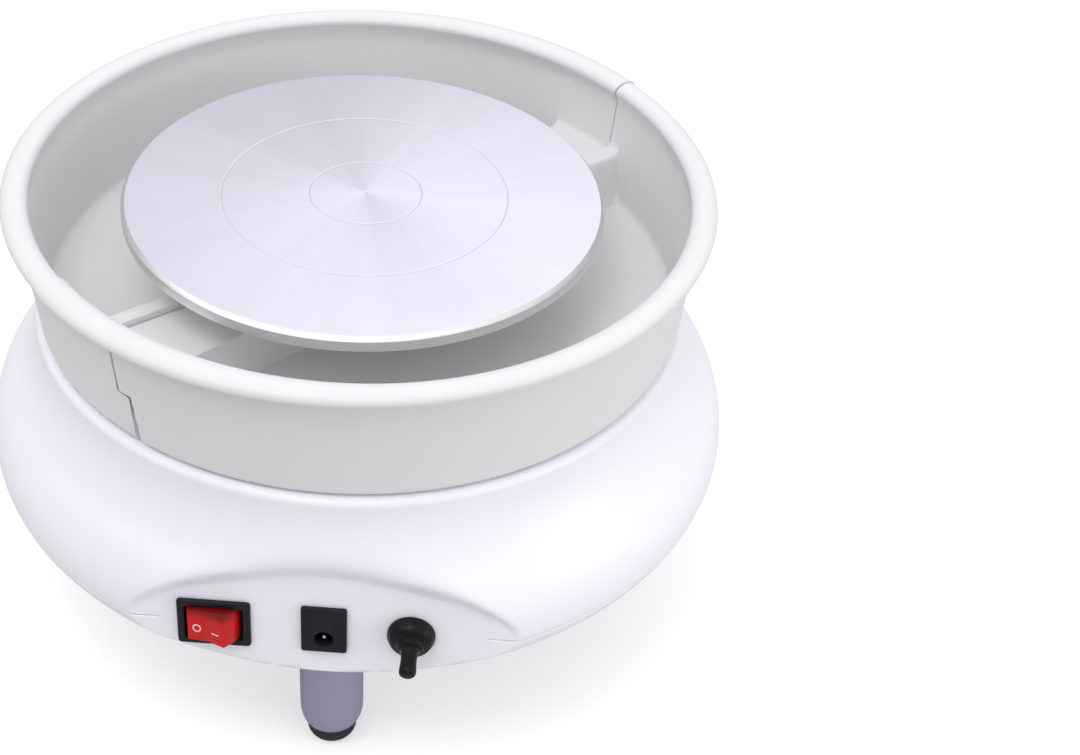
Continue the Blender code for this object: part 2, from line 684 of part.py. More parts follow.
def pan_profile(kind):
    """One section of a pan half as a closed loop (r, z), outer side from top to bottom.

    plain is the ordinary section, over is the end that lies on the other half's tab, and dam is
    the raised bar that closes the other end. All three have the same number of points.
    """
    bead_half = (PAN_RIM_RADIUS - PAN_MOUTH_RADIUS) / 2
    bead_centre = PAN_MOUTH_RADIUS + bead_half
    bead_z = PAN_RIM_TOP - PAN_BEAD_HEIGHT / 2
    bead = [
        (bead_centre + bead_half * math.cos(math.radians(a)),
         bead_z + PAN_BEAD_HEIGHT / 2 * math.sin(math.radians(a)))
        for a in (180, 140, 90, 40, 0, -50)
    ]
    floor_top = PAN_BOTTOM + PAN_FLOOR
    under = PAN_BOTTOM
    if kind == "over":
        floor_top = PAN_BOTTOM + PAN_PLATFORM_HEIGHT
        under = floor_top - PAN_FLOOR
    if kind == "dam":
        floor_top = PAN_BOTTOM + PAN_DAM_HEIGHT
    skin = PAN_WALL
    if kind == "over":
        skin = PAN_WALL - 3 * MM
    wall_top_z = PAN_RIM_TOP - PAN_BEAD_HEIGHT - 1 * MM
    slope = (PAN_WALL_TOP_RADIUS - PAN_WALL_FOOT_RADIUS) / (wall_top_z - PAN_BOTTOM)

    def inner(z):
        return PAN_WALL_TOP_RADIUS - PAN_WALL - slope * (wall_top_z - z)

    fillet = 6 * MM
    outer_foot = inner(under + fillet) + skin
    bore = PAN_COLLAR_RADIUS
    collar = PAN_COLLAR_RADIUS + PAN_COLLAR_WALL
    loop = bead
    loop += [(inner(wall_top_z) + skin, wall_top_z), (outer_foot, under + fillet)]
    loop += arc((outer_foot - fillet, under + fillet), fillet, -30.0, -90.0, 2)
    loop += [(bore + 20 * MM, under), (bore, under)]
    loop += [(bore, PAN_COLLAR_TOP), (collar, PAN_COLLAR_TOP), (collar, floor_top)]
    loop += [(bore + 20 * MM, floor_top), (inner(floor_top) - fillet / 2, floor_top)]
    loop += [(inner(floor_top + fillet / 2), floor_top + fillet / 2)]
    loop += [(inner(wall_top_z), wall_top_z - 2 * MM)]
    return loop


def pan_stations():
    """Where each section of a half stands: angle at the collar, angle at the wall, section.

    A half runs clockwise from the seam at 0 degrees to the seam at -180 degrees. Near its dam
    the lines run parallel to the seam, and elsewhere they are radial.
    """
    collar = PAN_COLLAR_RADIUS + PAN_COLLAR_WALL
    wall = PAN_WALL_FOOT_RADIUS - PAN_WALL
    seam_gap = GAP

    def along_seam(offset):
        return (
            math.degrees(math.asin(-offset / collar)), math.degrees(math.asin(-offset / wall)),
        )

    step = 1.5 * MM
    stations = [(*along_seam(seam_gap), "dam")]
    stations += [(*along_seam(PAN_DAM_WIDTH), "dam")]
    stations += [(*along_seam(PAN_DAM_WIDTH + step), "plain")]
    first_in, first_out = stations[-1][:2]
    last_in = -180.0 + PAN_PLATFORM_TURN
    last_out = -180.0 + PAN_OVERLAP_ANGLE
    steps = 26
    for i in range(1, steps + 1):
        share = i / steps
        stations.append((
            first_in + (last_in - first_in) * share, first_out + (last_out - first_out) * share,
            "plain",
        ))
    gap_in, gap_out = along_seam(seam_gap)
    end_in, end_out = -180.0 - gap_in, -180.0 - gap_out
    riser = 0.6 / PAN_OVERLAP_ANGLE
    for share in (riser, 0.35, 0.7, 1.0):
        stations.append((
            last_in + (end_in - last_in) * share, last_out + (end_out - last_out) * share, "over",
        ))
    return stations


def pan_half_mesh():
    """Loft the sections into one closed body, then add the tab that goes under the other half."""
    collar = PAN_COLLAR_RADIUS + PAN_COLLAR_WALL
    wall = PAN_WALL_FOOT_RADIUS - PAN_WALL
    bm = bmesh.new()
    rings = []
    for inner_angle, outer_angle, kind in pan_stations():
        start, end = (
            Vector((math.cos(math.radians(a)), math.sin(math.radians(a))))
            for a in (inner_angle, outer_angle)
        )
        ring = []
        for r, z in pan_profile(kind):
            share = min(max((r - collar) / (wall - collar), 0.0), 1.0)
            spot = start * collar * (1 - share) + end * wall * share
            spot *= r / (collar + (wall - collar) * share)
            ring.append(bm.verts.new((spot.x, spot.y, z)))
        rings.append(ring)
    count = len(rings[0])
    for near, far in zip(rings, rings[1:]):
        for i in range(count):
            j = (i + 1) % count
            bm.faces.new((near[i], near[j], far[j], far[i]))
    bm.faces.new(rings[0])
    bm.faces.new(rings[-1])
    half = add_object("pan_half_loft", mesh_from(bm, "pan_half"))
    combine(half, pan_tab(), "UNION")
    return settle(half).data


def pan_tab():
    """The thin end of a half that reaches under the other half's rim and platform."""
    wall_top_z = PAN_RIM_TOP - PAN_BEAD_HEIGHT - 1 * MM
    slope = (PAN_WALL_TOP_RADIUS - PAN_WALL_FOOT_RADIUS) / (wall_top_z - PAN_BOTTOM)
    inset = 0.15 * MM
    thick = 2.3 * MM

    def outer(z):
        return PAN_WALL_TOP_RADIUS - slope * (wall_top_z - z) - inset

    fillet = 6 * MM
    low = PAN_BOTTOM + 0.4 * MM
    foot = low + fillet
    section = [(outer(wall_top_z) - 0.2 * MM, wall_top_z - 1.2 * MM), (outer(foot), foot)]
    section += arc((outer(foot) - fillet, foot), fillet, -30.0, -90.0, 2)
    section += [(0.5 * PAN_WALL_FOOT_RADIUS, low), (0.5 * PAN_WALL_FOOT_RADIUS, low + 2 * MM)]
    section += [(outer(foot) - fillet, low + 2 * MM), (outer(foot) - thick, foot)]
    section += [(outer(wall_top_z) - thick, wall_top_z - 1.2 * MM)]
    bm = bmesh.new()
    start = math.radians(-2.0)
    sweep = math.radians(PAN_OVERLAP_ANGLE + 1.2)
    verts = [bm.verts.new((r * math.cos(start), r * math.sin(start), z)) for r, z in section]
    face = bm.faces.new(verts)
    bmesh.ops.spin(
        bm, geom=[face] + list(face.edges) + verts, cent=(0, 0, 0), axis=(0, 0, 1),
        angle=sweep, steps=5,
    )
    return add_object("pan_tab", mesh_from(bm, "pan_tab"))


def splash_pan():
    mesh = pan_half_mesh()
    for name, turn in (("pan_front_half", 0.0), ("pan_rear_half", 180.0)):
        place = Matrix.Rotation(math.radians(PAN_SEAM_ANGLE + turn), 4, "Z")
        add_object(name, mesh.copy(), "pan_plastic", place)


# ---------------------------------------------------------------- controls

def rocker_switch(upper):
    place = panel_place(ROCKER_X, CONTROL_Z)
    width, height = BEZEL_SIZE
    depth = 13 * MM
    body_width, body_height = width - 5 * MM, height - 4.6 * MM
    lift = GAP
    bezel = box(
        "rocker_bezel", (width, height, BEZEL_THICKNESS), (0.0, 0.0, lift + BEZEL_THICKNESS / 2),
        "black_plastic", place, 0.8 * MM,
    )
    behind = box(
        "rocker_case", (body_width, body_height, depth), (0.0, 0.0, lift + 1 * MM - depth / 2),
        place=place,
    )
    combine(bezel, behind, "UNION")
    well_width = ROCKER_SIZE[0] + 2 * RUNNING_GAP + 1.4 * MM
    well_height = ROCKER_SIZE[1] + 2 * RUNNING_GAP
    well_depth = 10.5 * MM
    well = box(
        "rocker_well", (well_width, well_height, well_depth + 10 * MM),
        (0.0, 0.0, lift - well_depth / 2 + 5 * MM), place=place,
    )
    combine(bezel, well, "DIFFERENCE")
    cut = box(
        "rocker_cutout", (body_width + 2 * GAP, body_height + 2 * GAP, 40 * MM), (0.0, 0.0, 0.0),
        place=place,
    )
    combine(upper, cut, "DIFFERENCE")

    # The paddle's outline: a shallow V in front, ends struck from the pivot.
    pivot = ROCKER_PIVOT
    half = ROCKER_SIZE[0] / 2
    tip_x = 9.5 * MM
    tip_z = 6.6 * MM
    radius = half + 0.1 * MM
    outline = [(-tip_x, tip_z), (0.0, tip_z - ROCKER_DISH), (tip_x, tip_z)]
    start = math.degrees(math.atan2(tip_z - pivot, tip_x))
    tip_radius = math.hypot(tip_x, tip_z - pivot)
    right_end = []
    for i in range(1, 5):
        angle = math.radians(start * (1 - i / 4))
        r = tip_radius + (radius - tip_radius) * (i / 4) ** 0.6
        right_end.append((r * math.cos(angle), pivot + r * math.sin(angle)))
    outline += right_end + [(8 * MM, pivot - 1.5 * MM), (-8 * MM, pivot - 1.5 * MM)]
    outline += [(-x, z) for x, z in reversed(right_end)]
    bm = bmesh.new()
    low = -ROCKER_SIZE[1] / 2
    verts = [bm.verts.new((x, low, z - pivot)) for x, z in outline]
    face = bm.faces.new(verts)
    swept = bmesh.ops.extrude_face_region(bm, geom=[face])
    moved = [item for item in swept["geom"] if isinstance(item, bmesh.types.BMVert)]
    bmesh.ops.translate(bm, verts=moved, vec=(0.0, ROCKER_SIZE[1], 0.0))
    tilt = Matrix.Rotation(-math.radians(ROCKER_REST_TILT), 4, "Y")
    spot = place @ Matrix.Translation((0.0, 0.0, lift + pivot)) @ tilt
    add_object("rocker_paddle", mesh_from(bm, "rocker_paddle"), "red_plastic", spot)


def power_jack(upper):
    place = panel_place(0.0, CONTROL_Z)
    lift = GAP
    plate = box(
        "jack_body", (*JACK_PLATE, JACK_PLATE_THICKNESS),
        (0.0, 0.0, lift + JACK_PLATE_THICKNESS / 2), "black_plastic", place, 0.7 * MM,
    )
    barrel_radius = JACK_SOCKET_RADIUS + 1.4 * MM
    barrel_depth = JACK_DEPTH
    socket_depth = 10.5 * MM
    drop = place @ Matrix.Translation((0.0, -JACK_DROP, 0.0))
    barrel = rod_profile(barrel_radius, lift - barrel_depth, lift + 1 * MM)
    combine(plate, turned("jack_barrel", barrel, 28, place=drop), "UNION")
    mouth = lift + JACK_PLATE_THICKNESS
    socket = rod_profile(JACK_SOCKET_RADIUS, mouth - socket_depth, mouth + 5 * MM)
    combine(plate, turned("jack_socket", socket, 28, place=drop), "DIFFERENCE")
    pin_floor = mouth - socket_depth + GAP
    pin = rod_profile(1.05 * MM, pin_floor, mouth - 1.5 * MM, 0.3 * MM)
    turned("jack_pin", pin, 10, "steel", drop)
    hole = rod_profile(barrel_radius + GAP, -20 * MM, 20 * MM)
    combine(upper, turned("jack_hole", hole, 28, place=drop), "DIFFERENCE")


def toggle_switch(upper):
    place = panel_place(TOGGLE_X, CONTROL_Z)
    bush_bore = 3.9 * MM
    bush_radius = 6 * MM
    wall_back = -BASE_WALL
    bush = tube_profile(bush_bore, bush_radius, wall_back - 4 * MM, 3.2 * MM)
    turned("toggle_bushing", bush, 24, "steel", place)
    hole = rod_profile(bush_radius + GAP, -20 * MM, 20 * MM)
    combine(upper, turned("toggle_hole", hole, 24, place=place), "DIFFERENCE")
    nut = hex_nut_profile(bush_radius + GAP, 9.6 * MM, wall_back - GAP - 2.4 * MM, wall_back - GAP)
    turned("toggle_nut", nut, 6, "steel", place)
    body_top = wall_back - 4 * MM - GAP
    box(
        "toggle_body", (13 * MM, 12 * MM, 14 * MM), (0.0, 0.0, body_top - 7 * MM),
        "black_plastic", place, 0.6 * MM,
    )

    # The boot: a rubber flange with a domed middle, open for the lever's swing.
    inner = bush_radius + GAP
    mouth = 6.9 * MM
    flange = 2.2 * MM
    crown = 7.4 * MM
    boot = [(mouth, crown), (mouth + 1.6 * MM, crown - 0.5 * MM), (BOOT_RADIUS - 1.6 * MM, 4.2 * MM)]
    boot += [(BOOT_RADIUS, flange), (BOOT_RADIUS, GAP + 0.5 * MM), (BOOT_RADIUS - 0.5 * MM, GAP)]
    boot += [(inner, GAP), (inner, 3.6 * MM)]
    turned("toggle_boot", boot, 28, "rubber", place)

    # The lever pivots in the bushing and is thrown down at rest.
    tilt = Matrix.Rotation(math.radians(TOGGLE_REST_TILT), 4, "X")
    lever_place = place @ tilt
    ball = 3.3 * MM
    core = 1.9 * MM
    tip = TOGGLE_REACH
    lever = [(0.0, tip - 2.5 * MM), (core, tip - 3.5 * MM), (core, ball * 0.8)]
    lever += arc((0.0, 0.0), ball, 50.0, -90.0, 5)
    lever[-1] = (0.0, -ball)
    turned("toggle_lever", lever, 14, "steel", lever_place)
    end = tip - SLEEVE_RADIUS * 0.8
    sleeve = [(0.0, tip)]
    sleeve += [
        (SLEEVE_RADIUS * math.sin(a), end + SLEEVE_RADIUS * 0.8 * math.cos(a))
        for a in (math.radians(d) for d in (25, 50, 70, 90))
    ]
    hollow = core + GAP
    sleeve += [(SLEEVE_RADIUS * 0.94, 6 * MM), (hollow, 6 * MM), (hollow, tip - 3.0 * MM)]
    sleeve += [(0.0, tip - 2.1 * MM)]
    turned("lever_sleeve", sleeve, 24, "rubber", lever_place)


# ---------------------------------------------------------------- electronics

def electronics():
    plate_top = PLATE_BOTTOM + PLATE_THICKNESS
    board_centre = (-96 * MM, 8 * MM)
    board_size = (62 * MM, 84 * MM, 1.6 * MM)
    post_height = 7 * MM
    tray = 2 * MM
    tray_bottom = plate_top + GAP
    carrier = box(
        "board_carrier", (board_size[0], board_size[1], tray),
        (*board_centre, tray_bottom + tray / 2), "black_plastic",
    )
    post = rod_profile(3 * MM, tray_bottom + tray / 2, tray_bottom + post_height)
    corners = [(x, y) for x in (-26 * MM, 26 * MM) for y in (-37 * MM, 37 * MM)]
    for number, (x, y) in enumerate(corners):
        spot = Matrix.Translation((board_centre[0] + x, board_centre[1] + y, 0.0))
        combine(carrier, turned("board_post_%d" % number, post, 10, place=spot), "UNION")
    board_bottom = tray_bottom + post_height + GAP
    board = box(
        "control_board", board_size, (*board_centre, board_bottom + board_size[2] / 2),
        "circuit_green",
    )
    board_top = board_bottom + board_size[2] + GAP
    can = rod_profile(8 * MM, board_bottom + board_size[2] / 2, board_top + 24 * MM, 1 * MM)
    for number, y in enumerate((-26 * MM, -6 * MM)):
        spot = Matrix.Translation((board_centre[0] - 18 * MM, board_centre[1] + y, 0.0))
        combine(board, turned("capacitor_%d" % number, can, 20, place=spot), "UNION")

    sink_x = board_centre[0] + 12 * MM
    base_height = 4 * MM
    sink = box(
        "heat_sink", (30 * MM, 44 * MM, base_height),
        (sink_x, board_centre[1], board_top + base_height / 2), "cast_aluminium",
    )
    for number in range(5):
        fin_x = sink_x + (number - 2) * 6.5 * MM
        fin = box(
            "fin_%d" % number, (1.6 * MM, 43 * MM, 18 * MM),
            (fin_x, board_centre[1], board_top + 1 * MM + 9 * MM),
        )
        combine(sink, fin, "UNION")

    # Each lead ends square to what it is soldered to, just clear of it.
    lead = 1.5 * MM
    supply_x, supply_y = -92 * MM, -28 * MM
    jack_back = panel_place(0.0, CONTROL_Z) @ Vector((0.0, -JACK_DROP, -JACK_DEPTH - 3 * GAP))
    wire("supply_lead", [
        jack_back, jack_back + Vector((0.0, 3.6 * MM, 0.5 * MM)),
        (-14 * MM, -140 * MM, 96 * MM), (-50 * MM, -100 * MM, 110 * MM),
        (-86 * MM, -48 * MM, board_top + 20 * MM), (supply_x, supply_y, board_top + 8 * MM),
        (supply_x, supply_y, board_top + GAP),
    ], lead, "black_plastic")
    motor_x, motor_y = -84 * MM, 42 * MM
    inwards = Vector((math.cos(math.radians(60.0)), math.sin(math.radians(60.0)), 0.0))
    can_side = Vector((0.0, MOTOR_DISTANCE, 100 * MM)) - inwards * (MOTOR_RADIUS + GAP)
    wire("motor_lead", [
        (motor_x, motor_y, board_top + GAP), (motor_x, motor_y, board_top + 8 * MM),
        (-60 * MM, 50 * MM, board_top + 16 * MM), (-36 * MM, 54 * MM, 103 * MM),
        can_side - inwards * 8 * MM, can_side,
    ], lead, "copper_lead")


# ---------------------------------------------------------------- assembly

clear_scene()
PARTS = make_collection("pottery_wheel")
CUTTERS = make_collection("cutters")

wheel_head()
head_hub()
main_shaft()
shaft_seal()
bearings_and_housing()
pulleys_and_belt()
motor()
upper_shell, lower_shell = base_shells()
chassis(lower_shell)
splash_pan()
rocker_switch(upper_shell)
power_jack(upper_shell)
toggle_switch(upper_shell)
electronics()
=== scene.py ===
# %% [markdown]
# # A small electric pottery wheel
#
# The real object is a turned aluminium wheel head that spins inside a two-piece splash pan. Both
# stand on a glossy white base with three legs, and a small panel in front holds a rocker switch, a
# power jack and a reversing toggle. The engineering model is loaded first and stays as it is. The
# cells below give it its looks: smooth surfaces worked out as arrays of numbers, and finishes made
# of shader nodes.

# %% Load the imported model, with a helper for each part's box
import json
import math

import bmesh
import bpy
import numpy as np
from mathutils import Matrix, Vector

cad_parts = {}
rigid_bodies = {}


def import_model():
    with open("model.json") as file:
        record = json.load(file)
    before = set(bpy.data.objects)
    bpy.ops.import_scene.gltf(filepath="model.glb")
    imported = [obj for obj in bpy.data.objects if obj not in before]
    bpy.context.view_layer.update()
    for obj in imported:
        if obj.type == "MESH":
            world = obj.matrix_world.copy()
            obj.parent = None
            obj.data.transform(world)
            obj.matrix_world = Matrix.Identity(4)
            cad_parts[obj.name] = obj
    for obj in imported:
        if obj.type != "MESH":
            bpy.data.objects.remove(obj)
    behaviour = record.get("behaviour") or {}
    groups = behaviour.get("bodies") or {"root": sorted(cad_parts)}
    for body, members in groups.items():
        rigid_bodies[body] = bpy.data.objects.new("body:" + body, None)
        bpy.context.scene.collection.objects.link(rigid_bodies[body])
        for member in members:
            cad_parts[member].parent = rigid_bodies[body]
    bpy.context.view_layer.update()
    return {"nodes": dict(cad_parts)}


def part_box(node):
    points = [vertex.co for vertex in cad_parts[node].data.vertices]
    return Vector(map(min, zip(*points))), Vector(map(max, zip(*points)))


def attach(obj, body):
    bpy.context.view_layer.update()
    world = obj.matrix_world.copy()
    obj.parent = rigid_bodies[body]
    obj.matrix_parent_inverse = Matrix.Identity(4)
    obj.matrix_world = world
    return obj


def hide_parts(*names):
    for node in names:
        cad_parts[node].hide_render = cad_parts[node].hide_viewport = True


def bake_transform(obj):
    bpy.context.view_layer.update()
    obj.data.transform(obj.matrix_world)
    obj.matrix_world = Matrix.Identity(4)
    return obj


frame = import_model()
MM = 0.001
print("nodes in the model:", len(frame["nodes"]))

# %% [markdown]
# ## The camera
#
# A camera needs a place, a direction and a lens. Here it stands in front of the wheel and about
# three quarters of a metre above the table, looks down steeply, and is rolled a few degrees, as if
# it were held by hand. The direction is built from three angles, so that each can be changed alone.

# %% Camera
CAMERA_SPOT = Vector((0.08405, -0.7736, 0.7516))
CAMERA_HEADING = math.radians(88.92)
CAMERA_DIP = math.radians(38.77)
CAMERA_ROLL = math.radians(4.89)
LENS_MM = 58.83

ahead = Vector((
    math.cos(CAMERA_HEADING) * math.cos(CAMERA_DIP),
    math.sin(CAMERA_HEADING) * math.cos(CAMERA_DIP),
    -math.sin(CAMERA_DIP),
))
level = Vector((math.sin(CAMERA_HEADING), -math.cos(CAMERA_HEADING), 0.0))
over = level.cross(ahead)
right = math.cos(CAMERA_ROLL) * level + math.sin(CAMERA_ROLL) * over
up = -math.sin(CAMERA_ROLL) * level + math.cos(CAMERA_ROLL) * over
camera_data = bpy.data.cameras.new("studio_camera")
camera_data.lens = LENS_MM
camera_data.sensor_width = 36.0
camera_data.clip_start = 0.01
camera = bpy.data.objects.new("studio_camera", camera_data)
camera.matrix_world = Matrix.Translation(CAMERA_SPOT) @ Matrix((right, up, -ahead)).transposed().to_4x4()
bpy.context.scene.collection.objects.link(camera)
bpy.context.scene.camera = camera
print("camera height in metres:", round(CAMERA_SPOT.z, 3))

# %% [markdown]
# ## The light
#
# White plastic is easily burnt out, so most of the light is a smooth sky, bright overhead and dim at
# the sides. Walls that face sideways then come out a shade darker than surfaces that face up, which
# is what shows their shape. Four large softboxes add the long soft highlights. The sky and the
# finishes are made of shader nodes, so two helpers come first: one adds a node, the other links some.

# %% Light
def add(group, kind, second=None, **settings):
    """A node with its settings: names with a capital are sockets, others are properties.

    second is the value of the second socket, on nodes whose sockets share one name.
    """
    node = group.nodes.new(kind)
    for key, value in settings.items():
        if key[0].isupper():
            node.inputs[key.replace("_", " ")].default_value = value
        else:
            setattr(node, key, value)
    if second is not None:
        node.inputs[1].default_value = second
    return node


def wire(group, *links):
    """Links, each as (from node, its output, to node, its input)."""
    for source, output, target, socket in links:
        group.links.new(source.outputs[output], target.inputs[socket])


SKY_OVERHEAD = (1.17, 1.16, 1.19)
SKY_LEVEL = (0.17, 0.17, 0.17)
MIX_FACTOR, MIX_A, MIX_B, MIX_RESULT = 0, 6, 7, 2


def studio_sky():
    """A vertical gradient: the level colour at the horizon, eased into the overhead colour.

    It lights the object, and the camera itself sees plain white behind the object.
    """
    world = bpy.data.worlds.new("studio_sky")
    world.use_nodes = True
    tree = world.node_tree
    place, split = add(tree, "ShaderNodeTexCoord"), add(tree, "ShaderNodeSeparateXYZ")
    ray, ramp = add(tree, "ShaderNodeLightPath"), add(tree, "ShaderNodeValToRGB")
    ramp.color_ramp.interpolation = "EASE"
    for stop, colour, height in zip(ramp.color_ramp.elements, (SKY_LEVEL, SKY_OVERHEAD), (0.0, 0.85)):
        stop.color, stop.position = (*colour, 1.0), height
    seen = add(tree, "ShaderNodeMix", data_type="RGBA")
    seen.inputs[MIX_B].default_value = (1.0, 1.0, 1.0, 1.0)
    wire(tree, (place, "Generated", split, 0), (split, "Z", ramp, "Fac"),
         (ray, "Is Camera Ray", seen, MIX_FACTOR), (ramp, "Color", seen, MIX_A),
         (seen, MIX_RESULT, tree.nodes["Background"], "Color"))
    bpy.context.scene.world = world


def softbox(name, spot, size, watts):
    """A square area light at spot, turned to face the middle of the wheel."""
    data = bpy.data.lights.new(name, "AREA")
    data.size, data.energy = size, watts
    lamp = bpy.data.objects.new(name, data)
    lamp.location = spot
    lamp.rotation_euler = (MIDDLE - Vector(spot)).to_track_quat("-Z", "Y").to_euler()
    bpy.context.scene.collection.objects.link(lamp)


studio_sky()
MIDDLE = Vector((0.0, 0.0, 0.15))
softbox("window_side", (-1.3, -0.5, 1.5), 0.9, 2.2)
softbox("overhead_back", (0.2, 1.3, 1.6), 1.0, 1.6)
softbox("right_fill", (1.5, -0.6, 0.4), 0.8, 6.0)
softbox("front_top", (-0.4, -0.9, 2.2), 0.8, 11.0)
bpy.context.scene.view_settings.view_transform = "Standard"

# %% [markdown]
# ## Surfaces from rings of points
#
# Almost everything on a pottery wheel is turned, moulded or extruded. All of these can be described
# as a stack of closed rings of points: a turned part is one profile repeated round an axis, a switch
# frame is a rounded rectangle repeated at several sizes. So one function that sews rings together is
# enough, and each piece only has to say where its rings lie.

# %% Sewing rings into a mesh
def columns(*numbers):
    """Columns of numbers as an array of points. A single number is repeated all the way down."""
    return np.stack(np.broadcast_arrays(*numbers), -1)


def whole_turn(count):
    """Angles evenly round a circle, in radians."""
    return np.linspace(0, 2 * math.pi, count, endpoint=False)


def sew(rings, capped=(), loop=False):
    """A mesh from rings, an array (rings, points, 3).

    Each ring is joined to the next with four-sided faces, and each is closed on itself. capped
    lists the rings that are filled with one face, and loop joins the last ring to the first.
    """
    rings = np.asarray(rings, float)
    count, around = rings.shape[:2]
    ids = np.arange(count * around).reshape(count, around)
    low, high = (ids, np.roll(ids, -1, 0)) if loop else (ids[:-1], ids[1:])
    quads = columns(low, np.roll(low, -1, 1), np.roll(high, -1, 1), high).reshape(-1, 4)
    faces = quads.tolist() + [ids[i].tolist() for i in capped]
    mesh = bpy.data.meshes.new("sewn")
    mesh.from_pydata(rings.reshape(-1, 3).tolist(), [], faces)
    return mesh


def tidy(mesh, crease=32.0):
    """Merge points that fall on each other, turn the faces outwards and shade smoothly."""
    work = bmesh.new()
    work.from_mesh(mesh)
    bmesh.ops.remove_doubles(work, verts=work.verts, dist=1e-6)
    bmesh.ops.dissolve_degenerate(work, edges=work.edges, dist=1e-7)
    bmesh.ops.recalc_face_normals(work, faces=work.faces)
    work.to_mesh(mesh)
    work.free()
    mesh.shade_smooth()
    mesh.set_sharp_from_angle(angle=math.radians(crease))
    return mesh


def joined(name, meshes):
    """Several meshes as one."""
    work = bmesh.new()
    for mesh in meshes:
        work.from_mesh(mesh)
    whole = bpy.data.meshes.new(name)
    work.to_mesh(whole)
    work.free()
    return whole


def rounded(corners, steps=6):
    """A polyline through corners (r, z, radius), each corner rounded by an arc of that radius.

    The arc touches both sides of its corner at the distance radius / tan(half the angle).
    """
    points = []
    last = len(corners) - 1
    for i, (r, z, radius) in enumerate(corners):
        here = np.array((r, z))
        if radius == 0 or i in (0, last):
            points.append(here)
            continue
        a = np.array(corners[i - 1][:2]) - here
        b = np.array(corners[i + 1][:2]) - here
        a, b = a / np.linalg.norm(a), b / np.linalg.norm(b)
        half = math.acos(np.clip(a @ b, -1, 1)) / 2
        reach = radius / math.tan(half)
        centre = here + (a + b) / np.linalg.norm(a + b) * radius / math.sin(half)
        start, end = here + a * reach - centre, here + b * reach - centre
        turn = math.acos(np.clip(start @ end / radius ** 2, -1, 1))
        share = np.linspace(0, 1, steps + 1)[:, None]
        blend = (np.sin((1 - share) * turn) * start + np.sin(share * turn) * end) / math.sin(turn)
        points.extend(centre + blend)
    return np.array(points)


def polar(r, angle, z):
    """Points (r cos a, r sin a, z)."""
    return columns(r * np.cos(angle), r * np.sin(angle), z)


def turned_rings(profile, angles):
    """One ring of points round the axis for each profile point (r, z)."""
    profile = np.asarray(profile, float)
    return polar(profile[:, 0, None], angles, profile[:, 1, None])


def turned(profile, around, place=Matrix()):
    """A turned surface, moved to its place."""
    mesh = sew(turned_rings(profile, whole_turn(around)))
    mesh.transform(place)
    return mesh


def finished(name, mesh, body, stands_for=(), crease=32.0):
    """Make the object, set its creases, and hand it to its body of the model."""
    tidy(mesh, crease)
    mesh.name = name
    piece = bpy.data.objects.new(name, mesh)
    bpy.context.scene.collection.objects.link(piece)
    if body:
        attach(piece, body)
    if stands_for:
        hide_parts(*stands_for)
    print(name, "faces:", len(mesh.polygons))
    return piece


# %% [markdown]
# ## The wheel head
#
# The head is a cast aluminium disc that was faced on a lathe. The lathe leaves three things that
# the eye looks for: a small chamfer that catches the light all round, two fine engraved centring
# rings, and the point where the tool met the axis. All are in the profile itself.

# %% Wheel head
head_low, head_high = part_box("wheel_head")
HEAD_RADIUS = head_high.x
HEAD_TOP = head_high.z
HEAD_UNDER = head_low.z
CENTRING_RINGS = (29.2 * MM, 74.2 * MM)
RING_WIDTH = 0.36 * MM
RING_DEPTH = 0.12 * MM
CHAMFER = 2.0 * MM

face = [(0.0, HEAD_TOP - 0.5 * MM), (0.9 * MM, HEAD_TOP - 0.12 * MM), (1.2 * MM, HEAD_TOP)]
for ring in CENTRING_RINGS:
    half = RING_WIDTH / 2
    face += [(ring + across, HEAD_TOP - depth) for across, depth in (
        (-half - 0.5 * MM, 0), (-half - 0.1 * MM, 0), (-half, 0.02 * MM), (0, RING_DEPTH),
        (half, 0.02 * MM), (half + 0.1 * MM, 0), (half + 0.5 * MM, 0))]
rim = rounded([
    (HEAD_RADIUS - 3 * MM, HEAD_TOP, 0), (HEAD_RADIUS - CHAMFER, HEAD_TOP, 0.3 * MM),
    (HEAD_RADIUS, HEAD_TOP - CHAMFER, 0.5 * MM), (HEAD_RADIUS, HEAD_UNDER + 0.8 * MM, 0.3 * MM),
    (HEAD_RADIUS - 0.8 * MM, HEAD_UNDER, 0.3 * MM), (60 * MM, HEAD_UNDER, 0),
], 4)
head_profile = np.concatenate([face, rim, [(0.0, HEAD_UNDER)]])
finished("wheel_plate", turned(head_profile, 288), "wheel", ["wheel_head"], 20.0)

# %% [markdown]
# ## The splash pan
#
# The pan is two identical moulded halves. Each half starts at a seam with a raised bar, the dam,
# runs round half a turn, and ends in a raised platform that lies over a thin tab of the other half,
# so that slip can't run out. The half is a lofted shape: one section, a closed loop of radius and
# height, is carried round the axis while it changes from dam to plain wall to platform.

# %% Pan section
PAN_LOW, PAN_TOP = (corner.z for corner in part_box("pan_front_half"))
BEAD_CENTRE = 176.2 * MM
BEAD_HALF_WIDTH = 6.8 * MM
BEAD_HALF_HEIGHT = 4.7 * MM
WALL_TOP_RADIUS = 176 * MM
WALL_FOOT_RADIUS = 170 * MM
PAN_WALL = 4.6 * MM
PAN_FLOOR = 3 * MM
MID_RADIUS = 60 * MM
FLOOR_RADIUS = WALL_FOOT_RADIUS - PAN_WALL
PLATFORM_TOP = PAN_LOW + 28.5 * MM
DAM_TOP = PAN_LOW + 32 * MM
PLATFORM_STEP = 217 * MM
STEP_DEPTH = 31 * MM
SQUARENESS = STEP_DEPTH / (0.8 * MM)
OVERLAP = 15.0
PLATFORM_START = -180 + OVERLAP
PLATFORM_TURN = 65.0
SWELL_START, SWELL_TURN = -110.0, 50.0
DAM_HALF_WIDTH, DAM_SLOPE = 8.5 * MM, 8 * MM
SEAM_GAP = 0.3 * MM
REBATE_DEPTH = 2.8 * MM
SEAM_ANGLE = 40.0
